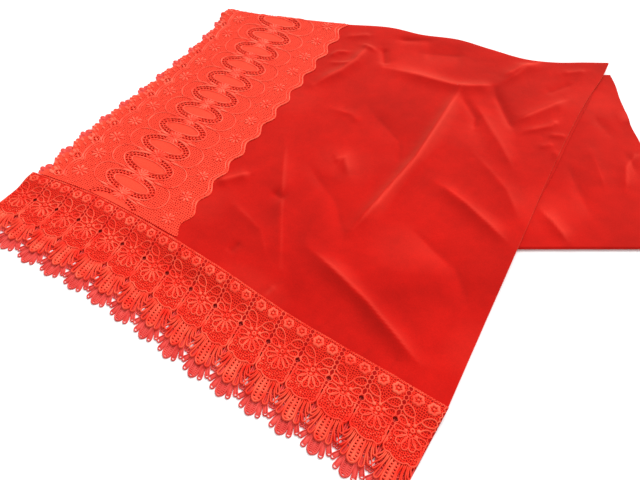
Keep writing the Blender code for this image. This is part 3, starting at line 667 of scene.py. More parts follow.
def cord(threads, line, width, height, closed=False, swell=None, base=-sunk):
    # A rounded cord along a flat line; swell gives its size at each point, base its underside
    line = np.asarray(line, float)
    if closed:
        along = np.roll(line, -1, axis=0) - np.roll(line, 1, axis=0)
    else:
        along = np.gradient(line, axis=0)
    along = along / np.maximum(np.linalg.norm(along, axis=1), 1e-9)[:, None]
    across = np.column_stack([-along[:, 1], along[:, 0]])
    size = np.ones(len(line)) if swell is None else np.asarray(swell, float)
    if not closed:
        size = size * np.r_[0.55, np.ones(len(line) - 2), 0.55]
    sides = len(cordSection)
    plan = line[:, None] + across[:, None] * (cordSection[:, 0] * width / 2)[None, :, None] * size[:, None, None]
    rise = base + (height - base) * cordSection[:, 1][None] * np.minimum(size, 1.0)[:, None]
    points = np.concatenate([plan, rise[..., None]], axis=2).reshape(-1, 3)
    count = len(line)
    i = np.arange(count if closed else count - 1)
    quads = []
    for k in range(sides):
        a, b = i * sides + k, i * sides + (k + 1) % sides
        ahead = (i + 1) % count * sides
        quads.append(np.column_stack([a, ahead + k, ahead + (k + 1) % sides, b]))
    triangles = []
    if not closed:
        last = (count - 1) * sides
        triangles = [(0, k, k + 1) for k in range(1, sides - 1)]
        triangles += [(last, last + k + 1, last + k) for k in range(1, sides - 1)]
    addThreads(threads, points, np.concatenate(quads), triangles)


def ringCord(threads, x, y, radius, width, height, corners=12):
    cord(threads, ellipse(x, y, radius, radius, corners), width, height, closed=True)


def petal(threads, x, y, angle, length, width, height, blunt=0.3, corners=10):
    # A low dome of satin stitch, widest towards its far end; angle is the way it points
    around = np.arange(corners) / corners * 2 * math.pi
    forward, side = math.cos(angle), math.sin(angle)
    rings = []
    for share, rise in ((1.0, -sunk), (0.92, 0.55 * height), (0.6, 0.93 * height)):
        a = length / 2 * np.cos(around) * share
        b = width / 2 * np.sin(around) * (1 + blunt * np.cos(around)) * share
        rings.append(np.column_stack([
            x + a * forward - b * side, y + a * side + b * forward, np.full(corners, rise),
        ]))
    rings.append(np.array([[x, y, height]]))
    k = np.arange(corners)
    ahead = (k + 1) % corners
    quads = [np.column_stack([k + r * corners, ahead + r * corners, ahead + (r + 1) * corners,
                              k + (r + 1) * corners]) for r in (0, 1)]
    top = np.column_stack([k + 2 * corners, ahead + 2 * corners, np.full(corners, 3 * corners)])
    base = [(0, i + 1, i) for i in range(1, corners - 1)]
    addThreads(threads, np.concatenate(rings), np.concatenate(quads), np.concatenate([top, base]))


def loopPetal(threads, x, y, angle, length, width, cordWidth, height, corners=16):
    # An open petal: only its outline cord, pointed where it starts at x, y
    t = np.arange(corners) / corners * 2 * math.pi
    a = length / 2 * (1 - np.cos(t))
    b = width / 2 * np.sin(t) * (0.55 + 0.45 * (1 - np.cos(t)) / 2) * 1.25
    line = np.column_stack([
        x + a * math.cos(angle) - b * math.sin(angle), y + a * math.sin(angle) + b * math.cos(angle),
    ])
    cord(threads, line, cordWidth, height, closed=True)


def daisy(threads, x, y, petals, inner, length, width, height, turn=0.0):
    for i in range(petals):
        angle = i / petals * 2 * math.pi + turn
        reach = inner + length / 2
        petal(threads, x + reach * math.cos(angle), y + reach * math.sin(angle), angle, length, width, height)


def joined(threads, repeats, step):
    # The threads of one repeat, laid side by side
    points = np.concatenate(threads["points"])
    quads, triangles = np.concatenate(threads["quads"]), np.concatenate(threads["triangles"])
    shifts = np.array(repeats, float)[:, None, None] * np.array([step[0], step[1], 0.0])
    number = np.arange(len(repeats))[:, None, None] * len(points)
    return (
        (points[None] + shifts).reshape(-1, 3),
        (quads[None] + number).reshape(-1, 4), (triangles[None] + number).reshape(-1, 3),
    )


def keepWhole(points, quads, triangles, keep):
    # Only the threads whose every point is kept: labels spread along faces until they settle
    label = np.arange(len(points))
    edges = np.concatenate([quads[:, [0, 1]], quads[:, [1, 2]], quads[:, [2, 3]],
                            triangles[:, [0, 1]], triangles[:, [1, 2]]])
    while True:
        low = np.minimum(label[edges[:, 0]], label[edges[:, 1]])
        before = label.copy()
        np.minimum.at(label, edges[:, 0], low)
        np.minimum.at(label, edges[:, 1], low)
        label = label[label]
        if (label == before).all():
            break
    bad = np.unique(label[~keep])
    good = ~np.isin(label, bad)
    index = np.cumsum(good) - 1
    return (points[good], index[quads[good[quads[:, 0]]]], index[triangles[good[triangles[:, 0]]]])


def unevenHand(points, amount):  # embroidery is never quite even
    x, y = points[:, 0], points[:, 1]
    moved = points.copy()
    moved[:, 0] += amount * (np.sin(y * 410 + 1.3) + np.sin(x * 170 + y * 90))
    moved[:, 1] += amount * (np.sin(x * 380 + 0.4) + np.sin(x * 95 - y * 210))
    return moved


# The flat edging
edging = {
    "thickness": 0.0010,
    "ground": 0.0005,
    "width": 0.190,
    "repeats": 11,
    "pitch": 0.0354,
    "turn": 0.012,  # of its length round the top fold
    "steps": 4 / 6,  # of the fold's half turn that it covers
    "head": 0.0065,
    "share": ((0.0, 0.390), (0.25, 0.378), (0.5, 0.366), (0.75, 0.351), (1.0, 0.339)),
    # the lace lies askew: how much further along a place lies, by its distance across and along
    "skew": ((0.0032, -0.0036, 0.0084), (-0.0152, -0.0061, 0.0010), (0.0045, -0.0084, -0.0037)),
    "drift": (0.0010, -0.0100, -0.0024, 0.0036),  # and how much further across, along its middle
    "scallop": 0.0052,
    "picot": 0.0042, "picots": 5, "lean": 0.5,
    "oval": {"across": 0.0985, "outer": (0.0345, 0.0166), "inner": (0.0240, 0.0080),
             "rows": ((0.0315, 0.0142), (0.0275, 0.0108)), "eyelet": 0.00165, "spacing": 0.0043,
             "open": 0.0100},
    "eyelets": {"across": 0.0215, "spread": 0.0024, "size": 0.0014},
    "daisies": (0.0385, 0.1660), "arcs": ((0.0700, -0.0200), (0.1300, 0.0210)), "margin": 0.0290,
    "cord": 0.0014, "raised": 0.0009,
}
edgingPitch = edging["pitch"]
edgingStart = leftLength - edging["repeats"] * edgingPitch  # whole repeats end at the top fold
edgingLook = {
    "thread": "#fa402a", "worn": "#ff5038", "raised": "#ff6e54", "below": "#b40e06", "roughness": 0.75,
    "gloss": 0.55, "hole": 0.0025, "bar": 0.19, "unevenness": 0.5, "stitch": 0.0012, "depth": 0.0006,
}
# painted light: the lower ply is the same lace, coloured pinker and less saturated for the light that falls on it
edgingUnderLook = {**edgingLook, "thread": "#de423a", "worn": "#e64c44", "raised": "#f05a50", "below": "#c03a32"}


def skewed(pattern):  # where a place of the even pattern lies on the flat lace
    across = (pattern[:, 0] - 0.100) / 0.100
    along = np.clip((pattern[:, 1] / edgingPitch - 5.5) / 5.5, -1.1, 1.1)
    moved = pattern.copy()
    moved[:, 1] += edgingStart + np.polynomial.polynomial.polyval2d(across, along, np.array(edging["skew"]))
    middle = 4 * np.clip(pattern[:, 0] / edging["width"], 0, 1) * np.clip(1 - pattern[:, 0] / edging["width"], 0, 1)
    moved[:, 0] += middle * np.polynomial.polynomial.polyval(along, edging["drift"])
    return moved


def unskewed(flat):
    pattern = flat.copy()
    for _ in range(6):
        pattern[:, :2] += flat[:, :2] - skewed(pattern)[:, :2]
    return pattern


def edgingShares(flat):
    table = np.array(edging["share"])
    v = flat[:, 1] / leftLength
    turn = (flat[:, 1] - leftLength) / edging["turn"] * edging["steps"]
    u = flat[:, 0] / edging["width"] * np.interp(np.minimum(v, 1), table[:, 0], table[:, 1])
    return u, np.where(v > 1, 1 + turn, v)


def edgingPlace(flat, rise):
    # On the velvet and round the top fold, drooping to the lower lace past the velvet's edge
    u, v = edgingShares(flat)
    placed = clothPoint(u, v, 0.0)
    angle = np.clip(v - 1, 0.0, 1.0) * math.pi
    out = stole["seam"] + rise
    droop = (1 - ease((u * stole["panelWidth"] - 0.002) / (stole["picots"] - 0.003))) * ease((0.985 - v) / 0.04)
    low = edging["thickness"] + stole["seam"]
    placed[:, 2] += (low - stole["seam"] - placed[:, 2]) * droop
    placed[:, 2] += out * np.cos(angle)
    placed[:, :2] += foldOut * (out * np.sin(angle))[:, None]
    return placed


def picotEdge(along, shift):  # shallow scallops of leaf-shaped picots
    hollow = edging["scallop"] * (1 + np.cos(2 * math.pi * (along + shift)))
    return hollow + edging["picot"] * (1 - np.abs(np.sin(edging["picots"] * math.pi * along)) ** 0.5)


def picotLine(along, shift, across=0.0):  # the same, leaning towards the fold
    hollow = picotEdge(along, shift)
    base = edging["scallop"] * (1 + np.cos(2 * math.pi * (along + shift))) + edging["picot"]
    return np.column_stack([hollow + across, along * edgingPitch + edging["lean"] * (base - hollow)])


def rightEdge(along):
    return edging["width"] - 0.0030 - 0.0034 * np.cos(2 * math.pi * along)


def ringPlaces(halfX, halfY, spacing, shift=0.0):  # evenly spaced round an ellipse
    angles = np.linspace(0, 2 * math.pi, 721)
    line = np.column_stack([halfX * np.cos(angles), halfY * np.sin(angles)])
    run = np.concatenate([[0.0], np.cumsum(np.linalg.norm(np.diff(line, axis=0), axis=1))])
    count = int(round(run[-1] / spacing / 2)) * 2
    at = np.interp((np.arange(count) + shift) / count * run[-1], run, angles)
    return [(halfX * math.cos(angle), halfY * math.sin(angle)) for angle in at]


def ovalEyelets(number):
    # Two rows of eyelets round both ends of an oval
    oval = edging["oval"]
    for row, (halfX, halfY) in enumerate(oval["rows"]):
        for x, y in ringPlaces(halfX, halfY, oval["spacing"], row / 2):
            if abs(x) > oval["open"]:
                yield ellipse(oval["across"] + x, number * edgingPitch + y, oval["eyelet"], oval["eyelet"] * 0.86, 6)


def edgingTop(ground, raised):
    pitch, width = edgingPitch, edging["width"]
    low, high = edging["head"] + 4 * stole["seam"], leftLength + edging["turn"]
    s = np.arange(-100, (edging["repeats"] + 2) * 50) / 50
    leftSide = skewed(picotLine(s, 0.5))
    leftSide[:, 0] = np.maximum(leftSide[:, 0], 0.0002)
    leftSide = leftSide[(leftSide[:, 1] > low + 0.001) & (leftSide[:, 1] < leftLength - 0.001)]
    rightSide = skewed(np.column_stack([rightEdge(s), s * pitch]))[::3]
    rightSide = rightSide[(rightSide[:, 1] > low + 0.001) & (rightSide[:, 1] < leftLength - 0.001)]
    bends = leftLength + np.linspace(0, edging["turn"], 7)
    outline = [(x, low) for x in np.linspace(0.009, width - 0.004, 40)]
    outline += rightSide.tolist() + [(width - 0.004, y) for y in bends[:-1]]
    outline += [(x, high) for x in np.linspace(width - 0.004, 0.006, 40)]
    outline += [(0.006, y) for y in bends[-2::-1]] + leftSide[::-1].tolist()
    holes = []
    cluster = edging["eyelets"]
    for number in np.arange(-1, edging["repeats"] + 1) + 0.5:
        holes += list(ovalEyelets(number))
        for x, y in ((-1, 0), (1, 0), (0, -1), (0, 1)):
            middle = (cluster["across"] + x * cluster["spread"], number * pitch + y * cluster["spread"])
            holes.append(ellipse(*middle, cluster["size"], cluster["size"], 6))
    holes = [skewed(hole) for hole in holes]
    holes = [hole for hole in holes if hole[:, 1].min() > low + 0.001 and hole[:, 1].max() < leftLength - 0.0006]
    columns, rows = np.arange(0.004, width, 0.0046), np.arange(low + 0.0015, leftLength, 0.0042)
    inner = [(x + 0.0022 * (j % 2), y) for j, y in enumerate(rows) for x in columns]
    inner += [(x, y) for y in bends[:-1] for x in columns[1:-1]]
    flat, faces = cutLace(outline, holes, inner)
    outer = edgingPlace(flat, np.full(len(flat), edging["ground"]))
    under = edgingPlace(flat, np.zeros(len(flat)))
    net = shell("edging_net", outer, under, faces, ground, flat, ("filled", edgingFill(unskewed(flat))))
    dressed(net, "flat_lace", "edging_top")
    points, quads, triangles = joined(edgingRepeat(), range(-1, edging["repeats"] + 1), (0.0, pitch))
    points = skewed(unevenHand(points, 0.00012))
    keep = (points[:, 1] > low + 0.0010) & (points[:, 1] < high - 0.0015)
    points, quads, triangles = keepWhole(points, quads, triangles, keep)
    placed = edgingPlace(points[:, :2], edging["ground"] + points[:, 2])
    work = meshPiece("edging_embroidery", placed, quads.tolist() + triangles.tolist(), raised)
    dressed(work, "flat_lace")
    return net


def edgingFill(pattern):
    # 1 where the lace is closed cloth, 0 where it is net
    oval = edging["oval"]
    along = (pattern[:, 1] / edgingPitch) % 1.0
    fromOval, fromJoint = (along - 0.5) * edgingPitch, ((along + 0.5) % 1.0 - 0.5) * edgingPitch
    away = ((pattern[:, 0] - oval["across"]) / oval["inner"][0]) ** 2 + (fromOval / oval["inner"][1]) ** 2
    filled = np.clip(1.7 - away, 0.0, 1.0)
    picots = ease((0.0150 - pattern[:, 0]) / 0.004)
    return np.maximum(filled, picots) + 0.0 * fromJoint


def edgingRepeat():
    # One repeat of the edging's raised work; joints of its ovals lie at whole repeats
    threads = newThreads()
    pitch, thin, high = edgingPitch, edging["cord"], edging["raised"]
    for k in range(edging["picots"]):
        s = (k + 0.5) / edging["picots"] - 0.5
        base = edging["scallop"] * (1 + math.cos(2 * math.pi * (s + 0.5))) + edging["picot"]
        angle = math.pi - math.atan(edging["lean"])
        for start, length, size in ((0.0012, 0.0074, 0.0044), (0.0086, 0.0060, 0.0030)):
            x, y = base + start, s * pitch - edging["lean"] * (start - 0.0006)
            petal(threads, x, y, angle, length, size, high, blunt=0.1)
    s = np.linspace(-0.5, 0.5, 29)
    swell = np.sqrt(1 - (2 * s) ** 2)
    cord(threads, np.column_stack([edging["margin"] + 0.0020 - 0.0075 * swell, s * pitch]), thin * 1.3, high)
    cord(threads, np.column_stack([edging["margin"] + 0.0050 - 0.0075 * swell, s * pitch]), thin * 0.7, high * 0.6)
    cluster = edging["eyelets"]
    ringCord(threads, cluster["across"], pitch / 2, 0.0054, 0.0015, high, 14)
    for angle in (0.5, 1.5, 2.5, 3.5):
        x, y = 0.0034 * math.cos(angle * math.pi / 2), 0.0034 * math.sin(angle * math.pi / 2)
        petal(threads, cluster["across"] + x, pitch / 2 + y, 0.0, 0.0014, 0.0014, high, blunt=0.0, corners=6)
    for across, length in zip(edging["daisies"], (0.0078, 0.0068)):
        daisy(threads, across, 0.0, 8, 0.0016, length, 0.0027, high * 1.3, turn=0.2)
        petal(threads, across, 0.0, 0.0, 0.0028, 0.0028, high * 1.5, blunt=0.0, corners=8)
    s = np.linspace(-0.5, 0.5, 33)
    bulge = np.sqrt(np.maximum(1 - (2 * s) ** 2, 0.0)) ** 0.8
    for across, depth in edging["arcs"]:
        cord(threads, np.column_stack([across + depth * bulge, s * pitch + pitch / 2]), thin, high)
        for share in (-0.62, 0.62):  # thin stems from each arc towards the daisies
            stem = [(across + depth * 0.95, pitch / 2 + share * pitch * 0.42),
                    (across + depth * 1.25, pitch / 2 + share * pitch * 0.55),
                    (across + depth * 1.38, pitch / 2 + share * pitch * 0.68)]
            cord(threads, stem, thin * 0.6, high * 0.7)
    oval = edging["oval"]
    for (halfX, halfY), size in ((oval["outer"], 1.2), (oval["inner"], 1.2)):
        cord(threads, ellipse(oval["across"], pitch / 2, halfX, halfY, 56), thin * size, high, closed=True)
    middle = [(a + b) / 2 for a, b in zip(*oval["rows"])]
    for x, y in ringPlaces(*middle, oval["spacing"] * 0.95, 0.25):
        if abs(x) > oval["open"]:
            petal(threads, oval["across"] + x, pitch / 2 + y, 0.0, 0.0017, 0.0017, high, blunt=0.0, corners=6)
    for i in range(-2, 3):  # the leafy flower between two ovals
        for way in (-1, 1):
            angle = way * math.pi / 2 + i * 0.46
            petal(threads, oval["across"] + 0.0062 * math.cos(angle), 0.0062 * math.sin(angle), angle,
                  0.0094, 0.0027, high * 1.3)
    petal(threads, oval["across"], 0.0, 0.0, 0.0034, 0.0034, high * 1.6, blunt=0.0)
    for side in (0.0, math.pi):
        for tilt, reach, length in ((0.13, 0.0160, 0.0190), (-0.13, 0.0160, 0.0190), (0.0, 0.0270, 0.0140)):
            angle = side + tilt
            petal(threads, oval["across"] + reach * math.cos(angle), reach * math.sin(angle), angle,
                  length, 0.0028, high * 1.1, blunt=-0.2, corners=12)
    for across, spread in ((0.0440, 0.0050), (0.1640, 0.0060)):
        for x, share in ((-1, 0.36), (-1, -0.36), (1, 0.30), (1, -0.30), (0, 0.44), (0.4, -0.46)):
            petal(threads, across + x * spread, share * pitch, 0.6, 0.0019, 0.0019, high * 0.9, blunt=0.0, corners=6)
    s = np.linspace(-0.5, 0.5, 25)
    for inset, size in ((0.0012, 1.2), (0.0056, 1.0)):
        cord(threads, np.column_stack([rightEdge(s) - inset, s * pitch]), thin * size, high)
    return threads


def edgingUnder(ground, raised):
    # The lower lace's picots, on the surface, past the upper ones
    low, high = 0.0085 + 0.002, leftLength - 0.013
    shift, out = 0.22, -0.0045
    s = np.arange(-50, (edging["repeats"] + 1) * 50) / 50
    leftSide = picotLine(s, shift, out) + (0.0, edgingStart)
    leftSide = leftSide[(leftSide[:, 1] > low + 0.001) & (leftSide[:, 1] < high - 0.001)]
    back = stole["picots"] + stole["tuck"] - 2 * stole["seam"]
    outline = [(0.006, low)] + [(back, y) for y in np.linspace(low, high, 90)] + [(0.006, high)]
    outline += leftSide[::-1].tolist()
    places = edgingStart + (np.arange(1, edging["repeats"] - 1) + 0.78) * edgingPitch
    holes = [ellipse(0.0115, y, 0.0014, 0.0014, 6) for y in places]
    inner = [(x, y) for x in (0.009, 0.014, 0.019) for y in np.arange(low + 0.003, high, 0.004)]
    flat, faces = cutLace(outline, holes, inner)
    outer, under = edgingLowPlace(flat, edging["ground"]), edgingLowPlace(flat, 0.0)
    filled = ease((0.0110 - flat[:, 0]) / 0.004)
    net = shell("edging_lower_net", outer, under, faces, ground, flat, ("filled", filled))
    dressed(net, "flat_lace", "edging_under")
    threads = newThreads()
    angle = math.pi - math.atan(edging["lean"])
    for i in range(1, edging["picots"] * edging["repeats"] - 3):
        s = (i + 0.5) / edging["picots"]
        base = edging["scallop"] * (1 + math.cos(2 * math.pi * (s + shift))) + edging["picot"] + out
        petal(threads, base + 0.0012, edgingStart + s * edgingPitch, angle, 0.0074, 0.0044, 0.0004, blunt=0.1)
    points, quads, triangles = joined(threads, [0], (0.0, 0.0))
    placed = edgingLowPlace(points[:, :2], edging["ground"] + points[:, 2])
    work = meshPiece("edging_lower_embroidery", placed, quads.tolist() + triangles.tolist(), raised)
    dressed(work, "flat_lace")
    return net


def edgingLowPlace(flat, rise):
    plan = panelPlan(flat[:, 0] / stole["panelWidth"], flat[:, 1] / leftLength)
    return np.column_stack([plan, np.zeros(len(plan)) + rise])


# The corded end trim
trim = {
    "thickness": 0.0016,
    "ground": 0.0007,
    "fans": 16,
    "pitch": 0.035,
    "depth": 0.0848,
    "tipDrop": 0.0135,
    "daisy": 0.0024,
    "lean": 0.013,  # the head lies this far to the left of the tips, at the middle
    "head": 0.0065,
    "underHead": 0.0085,
    # gaps on the line between two repeats: how far down, half width, half length
    "ladder": (
        (-0.0030, 0.0017, 0.0019), (0.0018, 0.0019, 0.0022), (0.0069, 0.0015, 0.0019), (0.0115, 0.0016, 0.0020),
        (0.0161, 0.0016, 0.0019), (0.0217, 0.0015, 0.0024), (0.0290, 0.0025, 0.0026), (0.0340, 0.0014, 0.0016),
        (0.0382, 0.0015, 0.0020), (0.0434, 0.0020, 0.0025), (0.0482, 0.0014, 0.0016),
    ),
    "cutFrom": 0.0020,  # gaps of this half width and more are cut, and the net of the others is darkened with painted shade
    # fingers of a fan: start, middle and tip, across and down, then width at the tip
    "fingers": (
        ((0.0124, 0.0572), (0.0138, 0.0622), (0.0160, 0.0662), 0.0046),
        ((0.0098, 0.0580), (0.0114, 0.0680), (0.0153, 0.0750), 0.0058),
        ((0.0068, 0.0590), (0.0077, 0.0712), (0.0095, 0.0805), 0.0060),
    ),
    "groundEdge": ((0.0175, 0.0535), (0.0166, 0.0572), (0.0148, 0.0588), (0.0125, 0.0592), (0.0093, 0.0585),
                   (0.0065, 0.0600), (0.0033, 0.0610), (0.0, 0.0613)),
    "loop": ((-0.0036, 0.0600), (-0.0045, 0.0690), (-0.0049, 0.0760), (-0.0040, 0.0822), (0.0, 0.0848),
             (0.0040, 0.0822), (0.0049, 0.0760), (0.0045, 0.0690), (0.0036, 0.0600)),
    "mound": (
        (0.0160, 0.0370), (0.0162, 0.0440), (0.0165, 0.0500), (0.0158, 0.0558), (0.0127, 0.0580),
        (0.0092, 0.0571), (0.0062, 0.0588), (0.0032, 0.0598), (0.0, 0.0602),
    ),
    "cord": 0.0014, "fingerCord": 0.0015, "raised": 0.0010,
}
trimLook = {
    "thread": "#f22a18", "worn": "#fa3822", "raised": "#ff6448", "below": "#aa0602", "paintedGapShade": "#b20c06", "roughness": 0.75,
    "gloss": 0.55, "hole": 0.0023, "bar": 0.13, "unevenness": 0.7, "stitch": 0.0013, "depth": 0.0009,
}
# painted light: the lower ply is the same lace, coloured pinker and less saturated for the light that falls on it
trimUnderLook = {**trimLook, "thread": "#d63a34", "worn": "#e0443e", "raised": "#e8544c", "below": "#a01810"}


def trimPlan(flat):
    total, down = trim["fans"] * trim["pitch"], flat[:, 1] / (trim["depth"] + trim["tipDrop"])
    share = flat[:, 0] / total
    share = share - trim["lean"] / total * 4 * share * (1 - share) * (1 - down)
    base, tip = hemLine(share), tipLine(share)
    return base + (tip - base) * down[:, None]


def trimTopPlace(flat, rise):
    plan = trimPlan(flat)
    seam = stole["seam"]
    head = topHeight(plan[:, 0], plan[:, 1]) + 2 * seam
    z = head + (trim["thickness"] + 2 * seam - head) * ease((flat[:, 1] - 0.0015) / 0.0245)
    return np.column_stack([plan, z + rise])


def trimUnderPlace(flat, rise):
    return np.column_stack([trimPlan(flat), np.zeros(len(flat)) + rise])


def trimGround(name, head, drop, place, finish):
    pitch, fans = trim["pitch"], trim["fans"]
    total = pitch * fans
    edge = np.array(trim["groundEdge"])
    outline = [(x, -head) for x in np.linspace(0, total, 6 * fans + 1)]
    side = np.arange(-head + 0.004, edge[0, 1] + drop - 0.002, 0.004)
    outline += [(total, y) for y in side]
    for i in reversed(range(fans)):
        middle = (i + 0.5) * pitch
        outline += [(middle + x, y + drop) for x, y in edge]
        outline += [(middle - x, y + drop) for x, y in edge[-2:0:-1]]
    outline.append((0.0, edge[0, 1] + drop))
    outline += [(0.0, y) for y in side[::-1]]
    holes = [ellipse(i * pitch, y + drop * 0.4, halfX, halfY, 8)
             for i in range(1, fans) for y, halfX, halfY in trim["ladder"] if halfX >= trim["cutFrom"]]
    rows = np.arange(-head + 0.003, edge[0, 1] + drop, 0.0038)
    inner = [(x + 0.002 * (j % 2), y) for j, y in enumerate(rows) for x in np.arange(0.003, total - 0.002, 0.0043)]
    flat, faces = cutLace(outline, holes, inner)
    faces = faces[:, ::-1]
    outer = place(flat, np.full(len(flat), trim["ground"]))
    under = place(flat, np.zeros(len(flat)))
    return shell(name, outer, under, faces, finish, flat), areaOf(outer, faces)


def fanThreads(threads, whole):
    # The fan of a repeat: three free fingers on each side, each a corded loop, filled on the lower ply,
    # and a long loop in the middle
    high, through = trim["raised"], -trim["ground"]
    share = np.linspace(0, 1, 10)
    bend = np.linspace(0, math.pi, 7)[1:-1]
    for *route, width in trim["fingers"]:
        middle = curveThrough(route)(share)
        along = np.gradient(middle, axis=0)
        along /= np.linalg.norm(along, axis=1)[:, None]
        aside = np.column_stack([-along[:, 1], along[:, 0]])
        reach = (np.interp(share, (0, 0.5, 1), (0.5, 0.78, 1.0)) * width / 2 - trim["fingerCord"] / 2)[:, None]
        tip = [middle[-1] + reach[-1] * (aside[-1] * math.cos(a) + along[-1] * math.sin(a)) for a in bend]
        line = np.concatenate([middle + aside * reach, tip, (middle - aside * reach)[::-1]])
        for way in (-1, 1):
            cord(threads, line * (way, 1), trim["fingerCord"], high, base=through)
            if not whole:
                cord(threads, middle * (way, 1), width * 0.8, high * 0.3, swell=reach[:, 0] / reach[-1], base=through)
    loop = curveThrough(trim["loop"])(np.linspace(0, 1, 33))
    cord(threads, loop, 0.0022, high, base=through)
    for y in np.linspace(0.0604, 0.0818, 8 if whole else 13):
        edge = np.interp(y, *np.array(trim["loop"][:5]).T[::-1])
        cord(threads, [(edge, y), (0.0, y), (-edge, y)], 0.0025, high * 0.3, base=through)
    cord(threads, [(0.0, y) for y in np.linspace(0.0595, 0.0825, 8)], 0.0034, high * 0.8, base=through)


def trimRepeat(whole):
    # One repeat of the trim's raised work: x from its middle, y down from the velvet's end
    threads = newThreads()
    high, thin = trim["raised"], trim["cord"]
    half = trim["pitch"] / 2
    mound = np.array(trim["mound"])
    points = np.concatenate([mound * (-1, 1), mound[-2::-1]])
    line = curveThrough(points)(np.linspace(0, 1, 49))
    cord(threads, line, thin * 1.15, high * 1.2)
    fanThreads(threads, whole)
    if not whole:
        return threads
    t = np.linspace(0, 1, 85)
    header = np.column_stack([(t - 0.5) * trim["pitch"], -0.0054 + 0.0007 * np.cos(2 * math.pi * 12 * t)])
    cord(threads, header, 0.0009, high * 0.7)
    cord(threads, [(-half, -0.0064), (0.0, -0.0064), (half, -0.0064)][0:3], 0.0006, high * 0.5)
    for way in (-1, 1):
        x = way * 0.0076
        angles = np.arange(30) / 30 * 2 * math.pi
        radius = 0.0044 + 0.0007 * np.cos(6 * angles)
        y = trim["daisy"]
        cord(threads, np.column_stack([x + radius * np.cos(angles), y + radius * np.sin(angles)]), 0.0029, high,
             closed=True)
        petal(threads, x, y, 0.0, 0.0026, 0.0026, high, blunt=0.0)
        rungs, side = [], [(half - 0.0009, -0.0056)]
        for (above, wide, upper), (below, _, lower) in zip(trim["ladder"][:-1], trim["ladder"][1:]):
            rungs.append((above + upper + below - lower) / 2)
            side += [(half - wide - 0.0009, above), (half - 0.0012, rungs[-1])]
        side += [(half - 0.0022, 0.0482), (half - 0.0012, 0.0530)]
        cord(threads, curveThrough(side)(np.linspace(0, 1, 58)) * (way, 1), 0.0011, high * 0.8)
        for y in rungs:
            cord(threads, [(way * (half - 0.0018), y), (way * (half - 0.0009), y), (way * half, y)], 0.0013, high * 0.7)
        stem = curveThrough([(0.0, 0.0262), (way * 0.0016, 0.0215), (way * 0.0040, 0.0178)])(np.linspace(0, 1, 6))
        cord(threads, stem, thin, high)
        loopPetal(threads, way * 0.0036, 0.0182, math.atan2(-0.0052, way * 0.0118), 0.0132, 0.0082, thin, high, 20)
        for x, y, angle, length, width in (
            (0.0062, 0.0274, -0.42, 0.0100, 0.0064), (0.0060, 0.0326, 0.20, 0.0100, 0.0056),
        ):
            loopPetal(threads, way * x, y, angle if way > 0 else math.pi - angle, length, width, thin, high)
        for x, y in ((0.0050, 0.0268), (0.0052, 0.0326)):
            petal(threads, way * x, y, 0.0, 0.0040, 0.0040, high * 1.3, blunt=0.0)
        for lean, length, width in ((0.56, 0.0120, 0.0066), (1.05, 0.0118, 0.0058)):
            angle = math.pi / 2 - way * lean
            loopPetal(threads, 0.0034 * math.cos(angle), 0.0332 + 0.0034 * math.sin(angle), angle,
                      length, width, thin, high)
    loopPetal(threads, 0.0, 0.0362, math.pi / 2, 0.0128, 0.0066, thin, high)
    ringCord(threads, 0.0, 0.0294, 0.0017, 0.0017, high * 1.2, 10)
    petal(threads, 0.0, 0.0244, 0.0, 0.0034, 0.0034, high * 1.3, blunt=0.0)
    petal(threads, 0.0, 0.0342, 0.0, 0.0036, 0.0030, high * 1.1, blunt=0.0)
    scatter = np.random.default_rng(7)
    for _ in range(44):  # knots of the mound
        x, y = scatter.uniform(-0.0140, 0.0140), scatter.uniform(0.0440, 0.0565)
        if abs(x) < 0.004 and y < 0.051 or abs(x) > 0.010 and y > 0.0550:
            continue
        size = scatter.uniform(0.0013, 0.0021)
        petal(threads, x, y, scatter.uniform(0, 3), size, size * 0.8, high * 0.7, blunt=0.0, corners=6)
    return threads


def trimPieces(ground, raised, groundUnder, raisedUnder):
    total = trim["pitch"] * trim["fans"]
    repeats = np.arange(trim["fans"]) + 0.5
    for name, node, head, drop, place, finish, threadFinish in (
        ("trim", "trim_top", trim["head"], 0.0, trimTopPlace, ground, raised),
        ("trim_lower", "trim_under", trim["underHead"], trim["tipDrop"], trimUnderPlace, groundUnder, raisedUnder),
    ):
        net, area = trimGround(name + "_ground", head, drop, place, finish)
        dressed(net, "corded_lace", node)
        points, quads, triangles = joined(trimRepeat(drop == 0.0), repeats, (trim["pitch"], 0.0))
        points[:, 1] += drop
        moved = unevenHand(points, 0.00014)
        moved[:, 0] = np.clip(moved[:, 0], 0.0002, total - 0.0002)
        placed = place(moved[:, :2], trim["ground"] + moved[:, 2])
        faces = quads[:, ::-1].tolist() + triangles[:, ::-1].tolist()
        work = meshPiece(name + "_cords", placed, faces, threadFinish)
        dressed(work, "corded_lace")


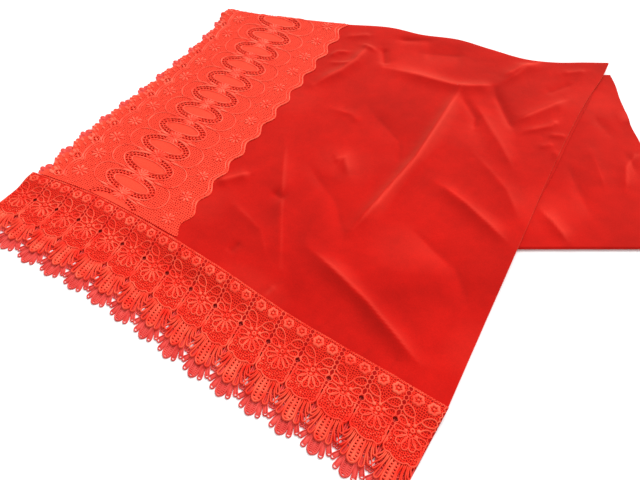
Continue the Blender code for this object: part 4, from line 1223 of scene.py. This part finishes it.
velvetFinish = pileVelvet(velvetLook)
velvetTop(velvetFinish)
velvetPlies(velvetFinish)
velvetTail(velvetFinish)
print("Velvet laid")
edgingTop(laceGround("embroidered_net", edgingLook), stitchedThread("satin_stitch", edgingLook))
edgingUnder(laceGround("embroidered_net_lower", edgingUnderLook), stitchedThread("satin_stitch_lower", edgingUnderLook))
print("Edging laid")
# painted shade along the joints of the trim's repeats: spacing, half width, and how far down it reaches
paintedShadeLine = (trim["pitch"], 0.0022, 0.0560)
trimPieces(laceGround("guipure_ground", trimLook, paintedShadeLine), stitchedThread("guipure_cord", trimLook),
           laceGround("guipure_ground_lower", trimUnderLook), stitchedThread("guipure_cord_lower", trimUnderLook))
print("Trims laid")

# Surface, light and camera
studio = {
    "floor": 6.0, "floorColour": "#ffffff", "sky": 0.66,
    "soft": {"from": (0.45, 0.75, 0.85), "spread": 38.0, "power": 2.9},
    "camera": {"place": (-0.0077, -0.4421, 0.5259), "tilt": 34.6, "lens": 31.5},
}
bpy.ops.mesh.primitive_plane_add(size=studio["floor"], location=(0.0, 0.0, -0.0002))
floor = bpy.context.active_object
floor.name = "floor"
floorFinish, _, floorShader = newMaterial("matt_white_paper", {"Roughness": 0.9, "Specular IOR Level": 0.1})
floorShader.inputs["Base Color"].default_value = hexColour(studio["floorColour"])
floor.data.materials.append(floorFinish)

world = bpy.data.worlds.new("studio")
world.use_nodes = True
world.node_tree.nodes["Background"].inputs["Color"].default_value = (1.0, 1.0, 1.0, 1.0)
world.node_tree.nodes["Background"].inputs["Strength"].default_value = studio["sky"]
bpy.context.scene.world = world
lamp = bpy.data.lights.new("soft_light", "SUN")
lamp.energy, lamp.angle = studio["soft"]["power"], math.radians(studio["soft"]["spread"])
lampObject = bpy.data.objects.new("soft_light", lamp)
lampObject.location = studio["soft"]["from"]
lampObject.rotation_euler = lampObject.location.to_track_quat("Z", "Y").to_euler()
bpy.context.scene.collection.objects.link(lampObject)
camera = bpy.data.cameras.new("camera")
camera.lens, camera.sensor_width = studio["camera"]["lens"], 36.0
cameraObject = bpy.data.objects.new("camera", camera)
cameraObject.location = studio["camera"]["place"]
cameraObject.rotation_euler = (math.radians(studio["camera"]["tilt"]), 0.0, 0.0)
bpy.context.scene.collection.objects.link(cameraObject)
bpy.context.scene.camera = cameraObject
bpy.context.scene.view_settings.view_transform = "Standard"
print("Studio set")
